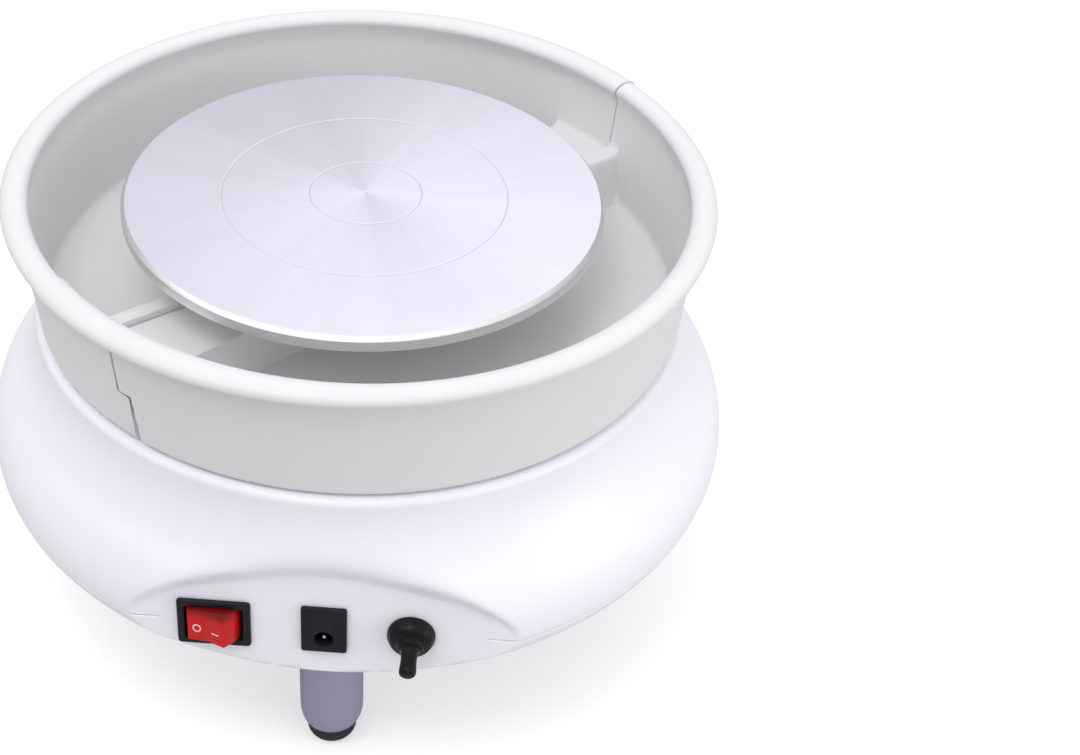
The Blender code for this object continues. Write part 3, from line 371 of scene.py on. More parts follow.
COLLAR_INNER = 29 * MM
COLLAR_OUTER = 32 * MM
COLLAR_TOP = 222 * MM
BEAD_POINTS = 30
WALL_POINTS = 40
WALL_TOP = PAN_TOP - 2 * BEAD_HALF_HEIGHT - 1 * MM
WALL_SLOPE = (WALL_TOP_RADIUS - WALL_FOOT_RADIUS) / (WALL_TOP - PAN_LOW)


def wall_outer(z):
    """Radius of the pan's outer wall at a height: it leans out evenly from foot to top."""
    return WALL_TOP_RADIUS - WALL_SLOPE * (WALL_TOP - z)


def wall_inner(z):
    """Radius of its inner face."""
    return wall_outer(z) - PAN_WALL


def pan_section(kind):
    """The closed loop (r, z) of one section. All kinds have as many points, so they can blend."""
    floor = {"plain": PAN_LOW + PAN_FLOOR, "over": PLATFORM_TOP, "dam": DAM_TOP}[kind]
    under = PLATFORM_TOP - PAN_FLOOR if kind == "over" else PAN_LOW
    skin = 1.6 * MM if kind == "over" else PAN_WALL
    half_width = BEAD_HALF_WIDTH + (1.1 * MM if kind == "over" else 0.0)
    half_height = BEAD_HALF_HEIGHT - (0.0 if kind == "over" else 0.35 * MM)
    turn = np.radians(np.linspace(195, -52, BEAD_POINTS))
    bead = columns(
        BEAD_CENTRE + half_width * np.cos(turn),
        PAN_TOP - 2 * BEAD_HALF_HEIGHT + half_height + half_height * np.sin(turn))
    outer = wall_inner(under) + skin
    wall_z = np.linspace(WALL_TOP - 1.5 * MM, under + 7 * MM, WALL_POINTS)
    wall = columns(wall_inner(wall_z) + skin, wall_z)
    foot = rounded([
        (outer + 0.8 * MM, under + 7 * MM, 0), (outer, under, 5.5 * MM), (MID_RADIUS, under, 0),
    ], 8)[1:-1]
    spans = np.linspace(outer - 8 * MM, COLLAR_INNER + 4 * MM, 7)[1:]
    below = columns(spans, under)
    collar = rounded([
        (MID_RADIUS, under, 0), (COLLAR_INNER, under, 0.8 * MM), (COLLAR_INNER, COLLAR_TOP, 1.2 * MM),
        (COLLAR_OUTER, COLLAR_TOP, 1.2 * MM), (COLLAR_OUTER, floor, 1.8 * MM),
        (MID_RADIUS, floor, 0),
    ], 4)[1:-1]
    above = columns(np.flip(spans)[1:-1], floor)
    corner = rounded([
        (MID_RADIUS, floor, 0), (wall_inner(floor), floor, 5 * MM), (wall_inner(WALL_TOP), WALL_TOP, 0),
    ], 8)[1:-1]
    top_z = np.linspace(corner[-1, 1] + 2 * MM, WALL_TOP - 1 * MM, 10)
    inside = columns(wall_inner(top_z), top_z)
    return np.concatenate([bead, wall, foot, below, collar, above, corner, inside])


sections = {kind: pan_section(kind) for kind in ("plain", "over", "dam")}
FOOT_POINTS = BEAD_POINTS + WALL_POINTS + 9
UNDER_POINTS = FOOT_POINTS + 6 + 10
print("points in a pan section:", {k: len(v) for k, v in sections.items()})

# %% [markdown]
# ### Where the sections stand
#
# Near the dam the lines of the mesh run parallel to the seam, so that the bar has straight sides.
# Further on they swing round, and at the platform they are nearly parallel to the other seam. Each
# station therefore has two angles, one at the collar and one at the wall. Where one kind of section
# turns into another, the share of each follows a smooth step, which rounds the edges of the dam and
# the platform.

# %% Pan half
def smooth_step(x):
    """0 below 0, 1 above 1, and 3x^2 - 2x^3 in between."""
    x = np.clip(x, 0, 1)
    return x * x * (3 - 2 * x)


def pan_stations():
    """Angles at collar and wall in degrees, and the share of the dam's section."""
    offsets = np.concatenate([[0.3, 0.6, 1.1], np.linspace(3, 8, 3),
                              np.linspace(8.5, 17, 14)]) * MM
    inner = -np.degrees(np.arcsin(offsets / COLLAR_OUTER))
    outer = -np.degrees(np.arcsin(offsets / FLOOR_RADIUS))
    dam = 1 - smooth_step((offsets - DAM_HALF_WIDTH) / DAM_SLOPE)
    share = np.concatenate([np.linspace(0, 0.96, 150)[1:], np.linspace(0.96, 1, 40)[1:]])
    last_in = -180 + PLATFORM_TURN
    inner = np.concatenate([inner, inner[-1] + (last_in - inner[-1]) * share])
    outer = np.concatenate([outer, outer[-1] + (PLATFORM_START - outer[-1]) * share])
    past = np.concatenate([np.linspace(0.01, 0.08, 9), np.linspace(0.12, 1, 15)])
    gap_in = math.degrees(math.asin(SEAM_GAP / COLLAR_OUTER))
    gap_out = math.degrees(math.asin(SEAM_GAP / FLOOR_RADIUS))
    inner = np.concatenate([inner, last_in + (-180 + gap_in - last_in) * past])
    outer = np.concatenate([outer, PLATFORM_START + (gap_out - OVERLAP) * past])
    dam = np.concatenate([dam, np.zeros(len(outer) - len(dam))])
    return inner, outer, dam


def over_share(outer):
    """How far each point of each section has become the lying-over end, in radius and in height.

    The bead swells slowly over the last third of the half. The outer wall steps back at once,
    where the tab of the other half begins. The platform rises with rounded edges, and its
    underside follows behind it.
    """
    past = PLATFORM_START - outer[:, None]
    bead = smooth_step((SWELL_START - outer[:, None]) / SWELL_TURN)
    wall = smooth_step(past / 0.3)
    platform = smooth_step((past + 0.05) / 0.9)
    under = smooth_step((past - 0.9) / 0.3)
    index = np.arange(len(sections["plain"]))
    in_bead, in_wall, in_under = (index < end for end in (BEAD_POINTS, FOOT_POINTS, UNDER_POINTS))
    radius = np.select([in_bead, in_wall, in_under], [bead, wall, under], platform)
    height = np.select([in_bead, in_under], [bead, under], platform)
    return columns(radius, height)


def rebate(outer, r, z):
    """Below the platform, step the outer wall back where the other half's tab reaches further.

    The edge of the step leans with depth and is rounded at the pan's foot, by a quarter circle.
    """
    below = (PLATFORM_STEP - z) / STEP_DEPTH
    corner = np.clip((PAN_LOW + 5 * MM - z) / (5 * MM), 0, 1)
    edge = PLATFORM_START + 2.4 + 0.5 * below + 1.7 * (1 - np.sqrt(1 - corner ** 2))
    share = smooth_step((edge - outer[:, None]) / 0.3) * smooth_step(below * SQUARENESS)
    share *= 1 - smooth_step((PLATFORM_START - outer[:, None]) / 0.3)
    index = np.arange(r.shape[1])
    on_wall = (index >= BEAD_POINTS) & (index < FOOT_POINTS)
    return r - REBATE_DEPTH * np.where(on_wall, share, 0.0)


def pan_half():
    """The lofted body of one half, seam at angle 0, as a closed mesh."""
    inner, outer, dam = pan_stations()
    plain = sections["plain"]
    section = (plain + dam[:, None, None] * (sections["dam"] - plain)
               + over_share(outer) * (sections["over"] - plain))
    z = section[..., 1]
    r = rebate(outer, section[..., 0], z)
    share = np.clip((r - COLLAR_OUTER) / (FLOOR_RADIUS - COLLAR_OUTER), 0, 1)[..., None]
    at_collar = polar(COLLAR_OUTER, np.radians(inner)[:, None], 0.0)
    at_wall = polar(FLOOR_RADIUS, np.radians(outer)[:, None], 0.0)
    grow = r[..., None] / (COLLAR_OUTER + (FLOOR_RADIUS - COLLAR_OUTER) * share)
    rings = (at_collar * (1 - share) + at_wall * share) * grow
    rings[..., 2] = z
    return sew(rings, capped=(0, len(rings) - 1))


def pan_tab():
    """The thin end that reaches under the other half: a curved plate with a shaped end.

    It follows the outer wall and turns in under the floor. Its end lies at one angle above the
    platform and a little further on below it.
    """
    inset, thick = 0.02 * MM, 2.3 * MM
    low = PAN_LOW + 0.4 * MM
    top = WALL_TOP - 1.2 * MM
    down = np.linspace(top, low + 7 * MM, 60)
    wall = columns(wall_outer(down) - inset, down)
    outside = rounded([
        (*wall[-1], 0), (wall_outer(low) - inset, low, 6 * MM), (90 * MM, low, 0),
    ], 8)[1:]
    inside = rounded([
        (90 * MM, low + thick, 0), (wall_outer(low) - inset - thick, low + thick, 4 * MM),
        (wall[-1, 0] - thick, wall[-1, 1], 0),
    ], 8)[:-1]
    loop = np.concatenate([wall, outside, inside, np.flip(wall, 0) - (thick, 0.0)])
    below = np.clip((PLATFORM_STEP - loop[:, 1]) / STEP_DEPTH, 0, 1)
    corner = np.clip((low + 2.5 * MM - loop[:, 1]) / (2.5 * MM), 0, 1)
    further = 2.5 - 0.3 * below - 0.8 * (1 - np.sqrt(1 - corner ** 2))
    end = OVERLAP - 0.5 + further * smooth_step(below * SQUARENESS)
    start = -0.3
    angle = np.radians(start + (end - start) * np.linspace(0, 1, 40)[:, None])
    return sew(polar(loop[:, 0], angle, loop[:, 1]), capped=(0, len(angle) - 1))


half_mesh = tidy(joined("pan_half", [tidy(pan_half()), tidy(pan_tab())]))
for name, body, node, turn in (
    ("pan_half_front", "pan_front", "pan_front_half", 0.0),
    ("pan_half_rear", "pan_rear", "pan_rear_half", 180.0),
):
    mesh = half_mesh.copy()
    mesh.transform(Matrix.Rotation(math.radians(SEAM_ANGLE + turn), 4, "Z"))
    finished(name, mesh, body, [node], 40.0)

# %% [markdown]
# ## The base
#
# The base is a low dome that sits in a shallow tray, moulded in two shells that meet in a fine
# groove. The dome is a turned shape with one change: in front it is cut back to an almost upright
# panel inside an arched outline. So each point is first turned round the axis, and then, if it lies
# inside the arch, is pushed back to the plane of the panel. A smooth step over the distance to the
# arch rounds the edge. The groove is the same idea: a small dip in the radius.

# %% Outline of the base
BASE_RADIUS = 202 * MM
BULGE = 52 * MM
BULGE_Z = 108.4 * MM
PARTING_Z = 105 * MM
UNDERSIDE = 72 * MM
TUCK = 24 * MM
NECK_RADIUS = 173.5 * MM
NECK_EDGE = 3.2 * MM
NECK_FILLET = 56 * MM
SEAT_Z = PAN_LOW - 0.3 * MM
COLLAR = (22 * MM, 27 * MM)
COLLAR_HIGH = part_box("upper_shell")[1].z
PANEL_DISTANCE = 177.6 * MM
PANEL_TILT = math.radians(4.0)
PANEL_HALF_WIDTH = 98 * MM
PANEL_ARCH = 43 * MM
ARCH_POWERS = (1.82, 1.6)
EDGE_OUTSIDE, EDGE_WITHIN, EDGE_AT_SIDE = 13 * MM, 12 * MM, 3.5 * MM
SKIRT_HALF_WIDTH = 81 * MM
SHELL_WALL = 3 * MM


def bow(centre, radius, start, end, steps):
    """Points on an arc about centre, between two angles in degrees."""
    turn = np.radians(np.linspace(start, end, steps + 1))
    return columns(centre[0] + radius * np.cos(turn), centre[1] + radius * np.sin(turn))


def base_outline(inset, fine):
    """The base in section from seat to underside, moved inwards by inset: arcs that touch."""
    centre = BASE_RADIUS - BULGE
    across = NECK_RADIUS + NECK_FILLET - centre
    reach = BULGE + NECK_FILLET
    meeting = math.degrees(math.acos(across / reach))
    fillet_z = BULGE_Z + reach * math.sin(math.radians(meeting))
    edge = bow((NECK_RADIUS - NECK_EDGE, SEAT_Z - NECK_EDGE), NECK_EDGE - inset, 90, 0, 8)
    fillet = bow((NECK_RADIUS + NECK_FILLET, fillet_z), NECK_FILLET + inset,
                 180, 180 + meeting, 8 * fine)
    shoulder = bow((centre, BULGE_Z), BULGE - inset, meeting, 6, 22 * fine)[1:]
    lip = bow((centre, BULGE_Z), BULGE - inset, 6, 0, 4 * fine)[1:]
    tuck = bow((BASE_RADIUS - TUCK, BULGE_Z), TUCK - inset, 0, -45, 18 * fine)[1:]
    foot_r = tuck[-1, 0] - (tuck[-1, 1] - (UNDERSIDE + inset))
    heel = rounded([(*tuck[-1], 0), (foot_r, UNDERSIDE + inset, 2.5 * MM - inset / 2),
                    (100 * MM, UNDERSIDE + inset, 0)], 4)[1:-1]
    flank = np.linspace(tuck[-1], heel[0], 6 * fine)[1:-1]
    return np.concatenate([edge, fillet, shoulder, lip, tuck, flank, heel])


def with_panel(points, inset):
    """Push the points inside the arch back to the panel's plane, with a rounded edge.

    The arch is the line where across^p + rise^q = 1. The distance from it is close to
    (1 - across^p - rise^q) over the slope of that sum.
    """
    x, y, z = points[..., 0], points[..., 1], points[..., 2]
    plane = -PANEL_DISTANCE + (z - PARTING_Z) * math.tan(PANEL_TILT) + inset
    across = np.abs(x) / PANEL_HALF_WIDTH
    rise = np.clip(z - PARTING_Z, 0, None) / PANEL_ARCH
    p, q = ARCH_POWERS
    slope = np.hypot(p * across ** (p - 1) / PANEL_HALF_WIDTH, q * rise ** (q - 1) / PANEL_ARCH)
    distance = (1 - across ** p - rise ** q) / np.maximum(slope, 1e-6)
    side = smooth_step((across - 0.35) / 0.6)
    outside = EDGE_OUTSIDE + (EDGE_AT_SIDE - EDGE_OUTSIDE) * side
    within = EDGE_WITHIN + (EDGE_AT_SIDE - EDGE_WITHIN) * side
    share = smooth_step((distance + outside) / (outside + within))
    depth = plane - y
    moved = np.where((y < 0) & (depth > 0), share * depth, 0.0)
    return columns(x, y + moved, z)


def groove(points, depth=0.7 * MM, half_width=0.7 * MM):
    """A round-lipped groove at the parting line, left out across the panel's skirt."""
    x, y, z = points[..., 0], points[..., 1], points[..., 2]
    skirt = (y < 0) & (np.abs(x) < SKIRT_HALF_WIDTH)
    near = np.where(skirt, 1.0, np.abs(z - PARTING_Z) / half_width)
    dip = depth * (1 - smooth_step(near))
    radius = np.hypot(x, y)
    shrink = (radius - dip) / np.maximum(radius, 1e-9)
    return columns(x * shrink, y * shrink, z)


print("points in the base outline:", len(base_outline(0.0, 2)))

# %% Base body
def base_columns():
    """Angles round the base, closer together across the panel and at the skirt's sides."""
    front = np.linspace(-124, -56, 190)
    rest = np.linspace(-56, 236, 200)[1:-1]
    return np.radians(np.concatenate([front, rest]))


def base_rows(fine, inset):
    """Radius and height of every row, with extra rows either side of the parting line."""
    rows = base_outline(inset, fine)
    if fine > 1:
        extra_z = PARTING_Z + np.array([-1, -0.75, -0.5, -0.3, 0, 0.3, 0.5, 0.75, 1]) * MM
        edge_r = (BASE_RADIUS - TUCK) + np.sqrt(TUCK ** 2 - (BULGE_Z - extra_z) ** 2)
        keep = np.abs(rows[:, 1] - PARTING_Z) > 1.2 * MM
        before = rows[:, 1] > PARTING_Z
        rows = np.concatenate([
            rows[keep & before], np.flip(columns(edge_r, extra_z), 0), rows[keep & ~before],
        ])
    return rows


def base_body():
    """The whole hollow base as one closed mesh, before it is parted into dome and tray."""
    angle = base_columns()

    def around(rows):
        return turned_rings(rows, angle)

    outside = groove(with_panel(around(base_rows(2, 0.0)), 0.0))
    inside = with_panel(around(np.flip(base_rows(1, SHELL_WALL), 0)), SHELL_WALL)
    collar = rounded([
        (COLLAR[0], SEAT_Z - SHELL_WALL, 0), (COLLAR[0], COLLAR_HIGH, 0.8 * MM),
        (COLLAR[1], COLLAR_HIGH, 0.8 * MM), (COLLAR[1], SEAT_Z, 2 * MM), (120 * MM, SEAT_Z, 0),
    ], 4)
    across = (120 * MM, 60 * MM, 20 * MM, 0.0)
    bottom = around([(r, UNDERSIDE) for r in across])
    bottom_in = around([(r, UNDERSIDE + SHELL_WALL) for r in reversed(across)])
    top_in = around([(r, SEAT_Z - SHELL_WALL) for r in (*across[:2], COLLAR[0])])
    outer_skin = sew(np.concatenate([around(collar), outside, bottom]))
    inner_skin = sew(np.concatenate([bottom_in, inside, top_in]))
    return tidy(joined("base_body", [outer_skin, inner_skin]))


base_mesh = base_body()
print("faces in the base body:", len(base_mesh.polygons))

# %% [markdown]
# ### Parting the base
#
# The two shells must fit each other exactly, so they aren't modelled twice: the one body is split by
# a block whose underside is the parting line. In front, the block has a skirt that reaches down, so
# the panel stays in one piece with the dome. The same Boolean step opens the dome behind each switch.

# %% Dome and tray
def panel_place(x):
    """Frame on the panel at the parting line: X to the right, Y up the panel, Z out of it."""
    out = Vector((0.0, -math.cos(PANEL_TILT), math.sin(PANEL_TILT)))
    above = Vector((0.0, math.sin(PANEL_TILT), math.cos(PANEL_TILT)))
    turn = Matrix((Vector((1.0, 0.0, 0.0)), above, out)).transposed().to_4x4()
    return Matrix.Translation((x, -PANEL_DISTANCE, PARTING_Z)) @ turn


def block(size, place):
    """A box of this size about the middle of a frame."""
    corners = np.array([(-0.5, -0.5), (0.5, -0.5), (0.5, 0.5), (-0.5, 0.5)])
    rings = np.array([columns(*corners.T, level) for level in (-0.5, 0.5)])
    mesh = tidy(sew(rings * size, capped=(0, 1)))
    mesh.transform(place)
    return mesh


def cut(mesh, tool_mesh, operation):
    """The exact Boolean of two closed meshes, as a new mesh."""
    body = bpy.data.objects.new("cut_body", mesh)
    tool = bpy.data.objects.new("cut_tool", tool_mesh)
    for item in (body, tool):
        bpy.context.scene.collection.objects.link(item)
    step = body.modifiers.new("cut", "BOOLEAN")
    step.operation, step.solver, step.object = operation, "EXACT", tool
    graph = bpy.context.evaluated_depsgraph_get()
    result = bpy.data.meshes.new_from_object(body.evaluated_get(graph))
    bpy.data.objects.remove(body)
    bpy.data.objects.remove(tool)
    return result


def parting_block(slack):
    """Everything above the parting line, and the skirt in front. slack lowers and widens it."""
    reach, height = 0.5, 0.4
    upper = block((reach, reach, height), Matrix.Translation((0, 0, PARTING_Z - slack + height / 2)))
    thick = SHELL_WALL + slack + 0.4 * MM
    skirt = block((2 * SKIRT_HALF_WIDTH + 0.2 * slack, 86 * MM, 2 * thick), panel_place(0.0))
    return cut(upper, skirt, "UNION")


ROCKER_X, JACK_X, TOGGLE_X = -54 * MM, 0.0, 43 * MM
JACK_DROP = 5.6 * MM
rocker_place, jack_place, toggle_place = (panel_place(x) for x in (ROCKER_X, JACK_X, TOGGLE_X))
socket_place = jack_place @ Matrix.Translation((0, -JACK_DROP, 0))
openings = [block((31.6 * MM, 24 * MM, 40 * MM), rocker_place)]
for radius, place in ((6.5 * MM, socket_place), (6.3 * MM, toggle_place)):
    openings.append(turned(
        [(0, 20 * MM), (radius, 20 * MM), (radius, -20 * MM), (0, -20 * MM)], 48, place))
dome_mesh = cut(base_mesh.copy(), parting_block(0.0), "INTERSECT")
dome_mesh = cut(dome_mesh, tidy(joined("openings", openings)), "DIFFERENCE")
tray_mesh = cut(base_mesh.copy(), parting_block(0.3 * MM), "DIFFERENCE")
for name, mesh, node in (("dome", dome_mesh, "upper_shell"), ("tray", tray_mesh, "lower_shell")):
    finished(name, mesh, "base", [node], 40.0)

# %% [markdown]
# ## The legs
#
# Three stout legs screw up into the tray. Each is a turned post, painted, whose lower end is
# rounded in to meet a black rubber foot.

# %% Legs and feet
LEG_BORE, BORE_DEPTH = 5.4 * MM, 24 * MM
FOOT_RADIUS, LEG_EASE = 13 * MM, 11 * MM

for name in ("front", "right", "left"):
    low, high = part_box("leg_" + name)
    middle = (low + high) / 2
    radius = (high.x - low.x) / 2
    place = Matrix.Translation((middle.x, middle.y, 0.0))
    shoulder, bore_end = low.z, high.z - BORE_DEPTH
    turn = np.radians(np.linspace(0, 90, 16))
    bend = columns(radius - (radius - FOOT_RADIUS) * (1 - np.cos(turn)),
                   shoulder + LEG_EASE * (1 - np.sin(turn)))
    post = np.concatenate([
        [(0.0, bore_end)],
        rounded([(LEG_BORE, bore_end, 0), (LEG_BORE, high.z, 0.5 * MM), (radius, high.z, 0.8 * MM),
                 (radius, high.z - 8 * MM, 0)], 4),
        bend, [(FOOT_RADIUS - 1 * MM, shoulder), (0.0, shoulder)],
    ])
    finished("post_" + name, turned(post, 72, place), "base", ["leg_" + name])
    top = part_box("foot_" + name)[1].z
    pad = rounded([(0.0, top, 0), (FOOT_RADIUS, top, 0.6 * MM), (FOOT_RADIUS, 0.0, 6.5 * MM),
                   (0.0, 0.0, 0)], 10)
    finished("tip_" + name, turned(pad, 72, place), "base", ["foot_" + name])

# %% [markdown]
# ## The rocker switch
#
# A rocker switch is a black frame with a deep well and a red lit paddle that tips in it. The frame
# is a rounded rectangle carried through several sizes and depths: up its outer side, over its
# rounded face, and down into the well. The paddle is a V-shaped outline drawn out sideways.

# %% Rounded rectangles
def rounded_rectangle(width, height, corner, around=8, along=9):
    """Points round a rectangle with round corners: quarter circles, and points on the straights."""
    turn = np.linspace(0, math.pi / 2, around)
    quarter = columns(np.cos(turn), np.sin(turn)) * corner
    half = np.array((width, height)) / 2 - corner
    corners = []
    for flip in ((1, 1), (-1, 1), (-1, -1), (1, -1)):
        part = (quarter + half) * flip
        corners.append(part if flip[0] * flip[1] > 0 else np.flip(part, 0))
    share = np.linspace(0, 1, along + 2)[1:-1, None]
    sides = []
    for here, following in zip(corners, corners[1:] + corners[:1]):
        sides += [here, here[-1] + (following[0] - here[-1]) * share]
    return np.concatenate(sides)


def stacked(levels, place, capped=()):
    """Rings from levels (outline, height) in a panel frame."""
    rings = [columns(*outline.T, z) for outline, z in levels]
    mesh = sew(np.array(rings), capped=capped)
    mesh.transform(place)
    return mesh


def inset_rectangle(size, inset, corner):
    """A rounded rectangle drawn in by inset on every side."""
    return rounded_rectangle(size[0] - 2 * inset, size[1] - 2 * inset, corner)


BODY, BEZEL, WELL = (31 * MM, 23.4 * MM), (36 * MM, 28 * MM), (28.6 * MM, 20.4 * MM)
LIFT = 0.3 * MM
FACE_ROUND = 1.1 * MM
levels = [
    (rounded_rectangle(*BODY, 1 * MM), LIFT - 12 * MM), (rounded_rectangle(*BODY, 1 * MM), LIFT),
    (inset_rectangle(BEZEL, 0.2 * MM, 1.6 * MM), LIFT),
    (rounded_rectangle(*BEZEL, 1.8 * MM), LIFT + 0.3 * MM),
    (rounded_rectangle(*BEZEL, 1.8 * MM), LIFT + FACE_ROUND),
]
for turn in np.radians(np.linspace(15, 90, 6)):
    ease = FACE_ROUND * (1 - math.cos(turn))
    levels.append((inset_rectangle(BEZEL, ease, 1.8 * MM - ease * 0.6),
                   LIFT + FACE_ROUND * (1 + math.sin(turn))))
levels += [
    (inset_rectangle(WELL, -0.4 * MM, 0.9 * MM), LIFT + 2.2 * MM),
    (inset_rectangle(WELL, -0.1 * MM, 0.7 * MM), LIFT + 2.05 * MM),
    (rounded_rectangle(*WELL, 0.6 * MM), LIFT + 1.7 * MM),
    (rounded_rectangle(*WELL, 0.6 * MM), LIFT - 10.5 * MM),
]
finished("rocker_frame", stacked(levels, rocker_place, (0, len(levels) - 1)), "base",
         ["rocker_bezel"])

# %% Rocker paddle
PADDLE_HEIGHT = 19.6 * MM
PIVOT_Z = -6.3 * MM
DISH = 1.4 * MM
PADDLE_REST = math.radians(15.0)
paddle_tilt = Matrix.Rotation(-PADDLE_REST, 4, "Y")
paddle_place = rocker_place @ Matrix.Translation((0, 0, LIFT + PIVOT_Z)) @ paddle_tilt
crest, reach = (9.5 * MM, 6.6 * MM - PIVOT_Z), 13.3 * MM
start, far = math.atan2(crest[1], crest[0]), math.hypot(*crest)
swing = np.linspace(1, 0, 9)[1:]
end_radius = far + (reach - far) * (1 - swing) ** 0.6
end_curve = columns(end_radius * np.cos(start * swing), end_radius * np.sin(start * swing))
front = rounded([(-3 * MM, crest[1] - DISH * (1 - 3 * MM / crest[0]), 0),
                 (0.0, crest[1] - DISH, 12 * MM), (*crest, 0.7 * MM), (*end_curve[2], 0)], 6)[1:-1]
right_side = np.concatenate([front[front[:, 0] > 1e-5], end_curve[2:], [(8 * MM, -1.5 * MM)]])
left_side = np.flip(right_side, 0) * (-1, 1)
outline = np.concatenate([right_side, left_side])
middle_z = 4.0 * MM
EASE = 0.5 * MM


def paddle_ring(y, shrink):
    """The outline at one height, drawn in towards its middle by shrink metres."""
    centred = outline - (0.0, middle_z)
    size = np.hypot(centred[:, 0], centred[:, 1])[:, None]
    moved = centred * (1 - shrink / size) + (0.0, middle_z)
    return columns(moved[:, 0], y, moved[:, 1])


rings = []
for sign, first, final in ((-1, 90, 0), (1, 0, 90)):
    for turn in np.radians(np.linspace(first, final, 5)):
        rings.append(paddle_ring(sign * (PADDLE_HEIGHT / 2 - EASE * (1 - math.sin(turn))),
                                 EASE * (1 - math.cos(turn))))
paddle_mesh = sew(np.array(rings), capped=(0, len(rings) - 1))
paddle_mesh.transform(paddle_place)
finished("rocker_key", paddle_mesh, "rocker", ["rocker_paddle"], 28.0)

# %% [markdown]
# The two marks are the usual ones for off and on, a ring and a bar, printed in white. They are thin
# closed solids that stand a few hundredths of a millimetre out of the paddle's face.

# %% Marks on the paddle
FACE_SLOPE = math.atan2(DISH, crest[0])


def face_place(x, y):
    """A frame lying on the paddle's face at x and y, on the side of the sign of x."""
    z = crest[1] - DISH + abs(x) * math.tan(FACE_SLOPE)
    lean = Matrix.Rotation(-math.copysign(FACE_SLOPE, x), 4, "Y")
    return paddle_place @ Matrix.Translation((x, y, z)) @ lean


RING_OUTER, RING_INNER, MARK_HALF = 2.45 * MM, 1.85 * MM, 0.05 * MM
band = [(RING_OUTER, -MARK_HALF), (RING_OUTER, MARK_HALF),
        (RING_INNER, MARK_HALF), (RING_INNER, -MARK_HALF)]
ring_mark = sew(turned_rings(band, whole_turn(48)) * (0.86, 1, 1), loop=True)
ring_mark.transform(face_place(-4.9 * MM, -1.6 * MM))
bar = rounded_rectangle(4.2 * MM, 0.62 * MM, 0.25 * MM, 4, 3)
bar_mark = stacked([(bar, -MARK_HALF), (bar, MARK_HALF)], face_place(4.7 * MM, -2.9 * MM), (0, 1))
finished("rocker_marks", joined("marks", [tidy(ring_mark), tidy(bar_mark)]), "rocker", ())

# %% [markdown]
# ## The power jack
#
# The jack is a small black plate with a round socket below its middle and a bright pin inside. Its
# front is a surface between two outlines: a circle at the socket's mouth and a rounded square at
# the plate's edge, with every ring in between a blend of the two.

# %% Jack
JACK_PLATE = (22.6 * MM, 28.4 * MM)
JACK_THICK = 2 * MM
SOCKET = 4.8 * MM


def jack_circle(radius):
    """A circle about the socket, its points lined up with those of the rounded rectangle."""
    outline = rounded_rectangle(*JACK_PLATE, 1.4 * MM) + (0.0, JACK_DROP)
    turn = np.arctan2(outline[:, 1], outline[:, 0])
    return columns(radius * np.cos(turn), radius * np.sin(turn) - JACK_DROP)


face_z = LIFT + JACK_THICK
mouth, edge = 0.5 * MM, 0.8 * MM
turns = np.radians((30, 60, 90))
levels = [(jack_circle(0.02 * MM), face_z - 10.5 * MM), (jack_circle(SOCKET), face_z - 10.5 * MM),
          (jack_circle(SOCKET), face_z - mouth)]
for turn in turns:
    levels.append((jack_circle(SOCKET + mouth * (1 - math.cos(turn))),
                   face_z - mouth + mouth * math.sin(turn)))
for share in (0.35, 0.7, 1.0):
    plate_edge = inset_rectangle(JACK_PLATE, edge, 0.9 * MM)
    levels.append(((1 - share) * jack_circle(SOCKET + 0.6 * MM) + share * plate_edge, face_z))
for turn in turns:
    pull = edge * (1 - math.sin(turn))
    levels.append((inset_rectangle(JACK_PLATE, pull, 1.4 * MM - pull * 0.6),
                   face_z - edge * (1 - math.cos(turn))))
levels += [(rounded_rectangle(*JACK_PLATE, 1.4 * MM), LIFT), (jack_circle(6.2 * MM), LIFT),
           (jack_circle(6.2 * MM), LIFT - 12 * MM)]
finished("jack_plate", stacked(levels, jack_place, (0, len(levels) - 1)), "base", ["jack_body"])
pin_foot, pin_top = face_z - 10.2 * MM, face_z - 1.5 * MM
pin = rounded([(0.0, pin_foot, 0), (1.05 * MM, pin_foot, 0), (1.05 * MM, pin_top, 0.9 * MM),
               (0.0, pin_top, 0)], 6)
finished("jack_contact", turned(pin, 32, socket_place), "base", ["jack_pin"])

# %% [markdown]
# ## The reversing toggle
#
# The toggle's lever wears a one-piece rubber boot: a dome clamped to the panel, a folded neck, and
# a sleeve. In the model the dome stays still and the sleeve swings. Here they are one skin, shaped as
# it rests, with the fold bent between the still foot and the tipped sleeve.

# %% Toggle boot
TOGGLE_REST = math.radians(17.0)
BOOT_RADIUS = 12 * MM
SLEEVE_RADIUS = 4.35 * MM
TOGGLE_REACH = 23.4 * MM
boot_profile = rounded([
    (0.0, TOGGLE_REACH, 0), (SLEEVE_RADIUS * 1.02, TOGGLE_REACH, 2.6 * MM),
    (SLEEVE_RADIUS * 0.9, 14.5 * MM, 20 * MM), (SLEEVE_RADIUS * 1.0, 9.4 * MM, 1.6 * MM),
    (6.4 * MM, 8.6 * MM, 1.2 * MM), (6.9 * MM, 7.3 * MM, 0.4 * MM),
    (10.2 * MM, 6.0 * MM, 3.6 * MM), (BOOT_RADIUS, 2.0 * MM, 1.4 * MM), (BOOT_RADIUS, LIFT, 0.2 * MM),
    (0.0, LIFT, 0),
], 7)


def boot_mesh():
    """The turned boot, tipped as it rests: not at all at its foot, wholly from the neck up."""
    x, y, z = np.moveaxis(turned_rings(boot_profile, whole_turn(64)), -1, 0)
    lean = TOGGLE_REST * smooth_step((z - 4.5 * MM) / (4.5 * MM))
    mesh = sew(columns(x, y * np.cos(lean) - z * np.sin(lean),
                         y * np.sin(lean) + z * np.cos(lean)))
    mesh.transform(toggle_place)
    return mesh


boot = finished("toggle_rubber", boot_mesh(), None, (), 60.0)

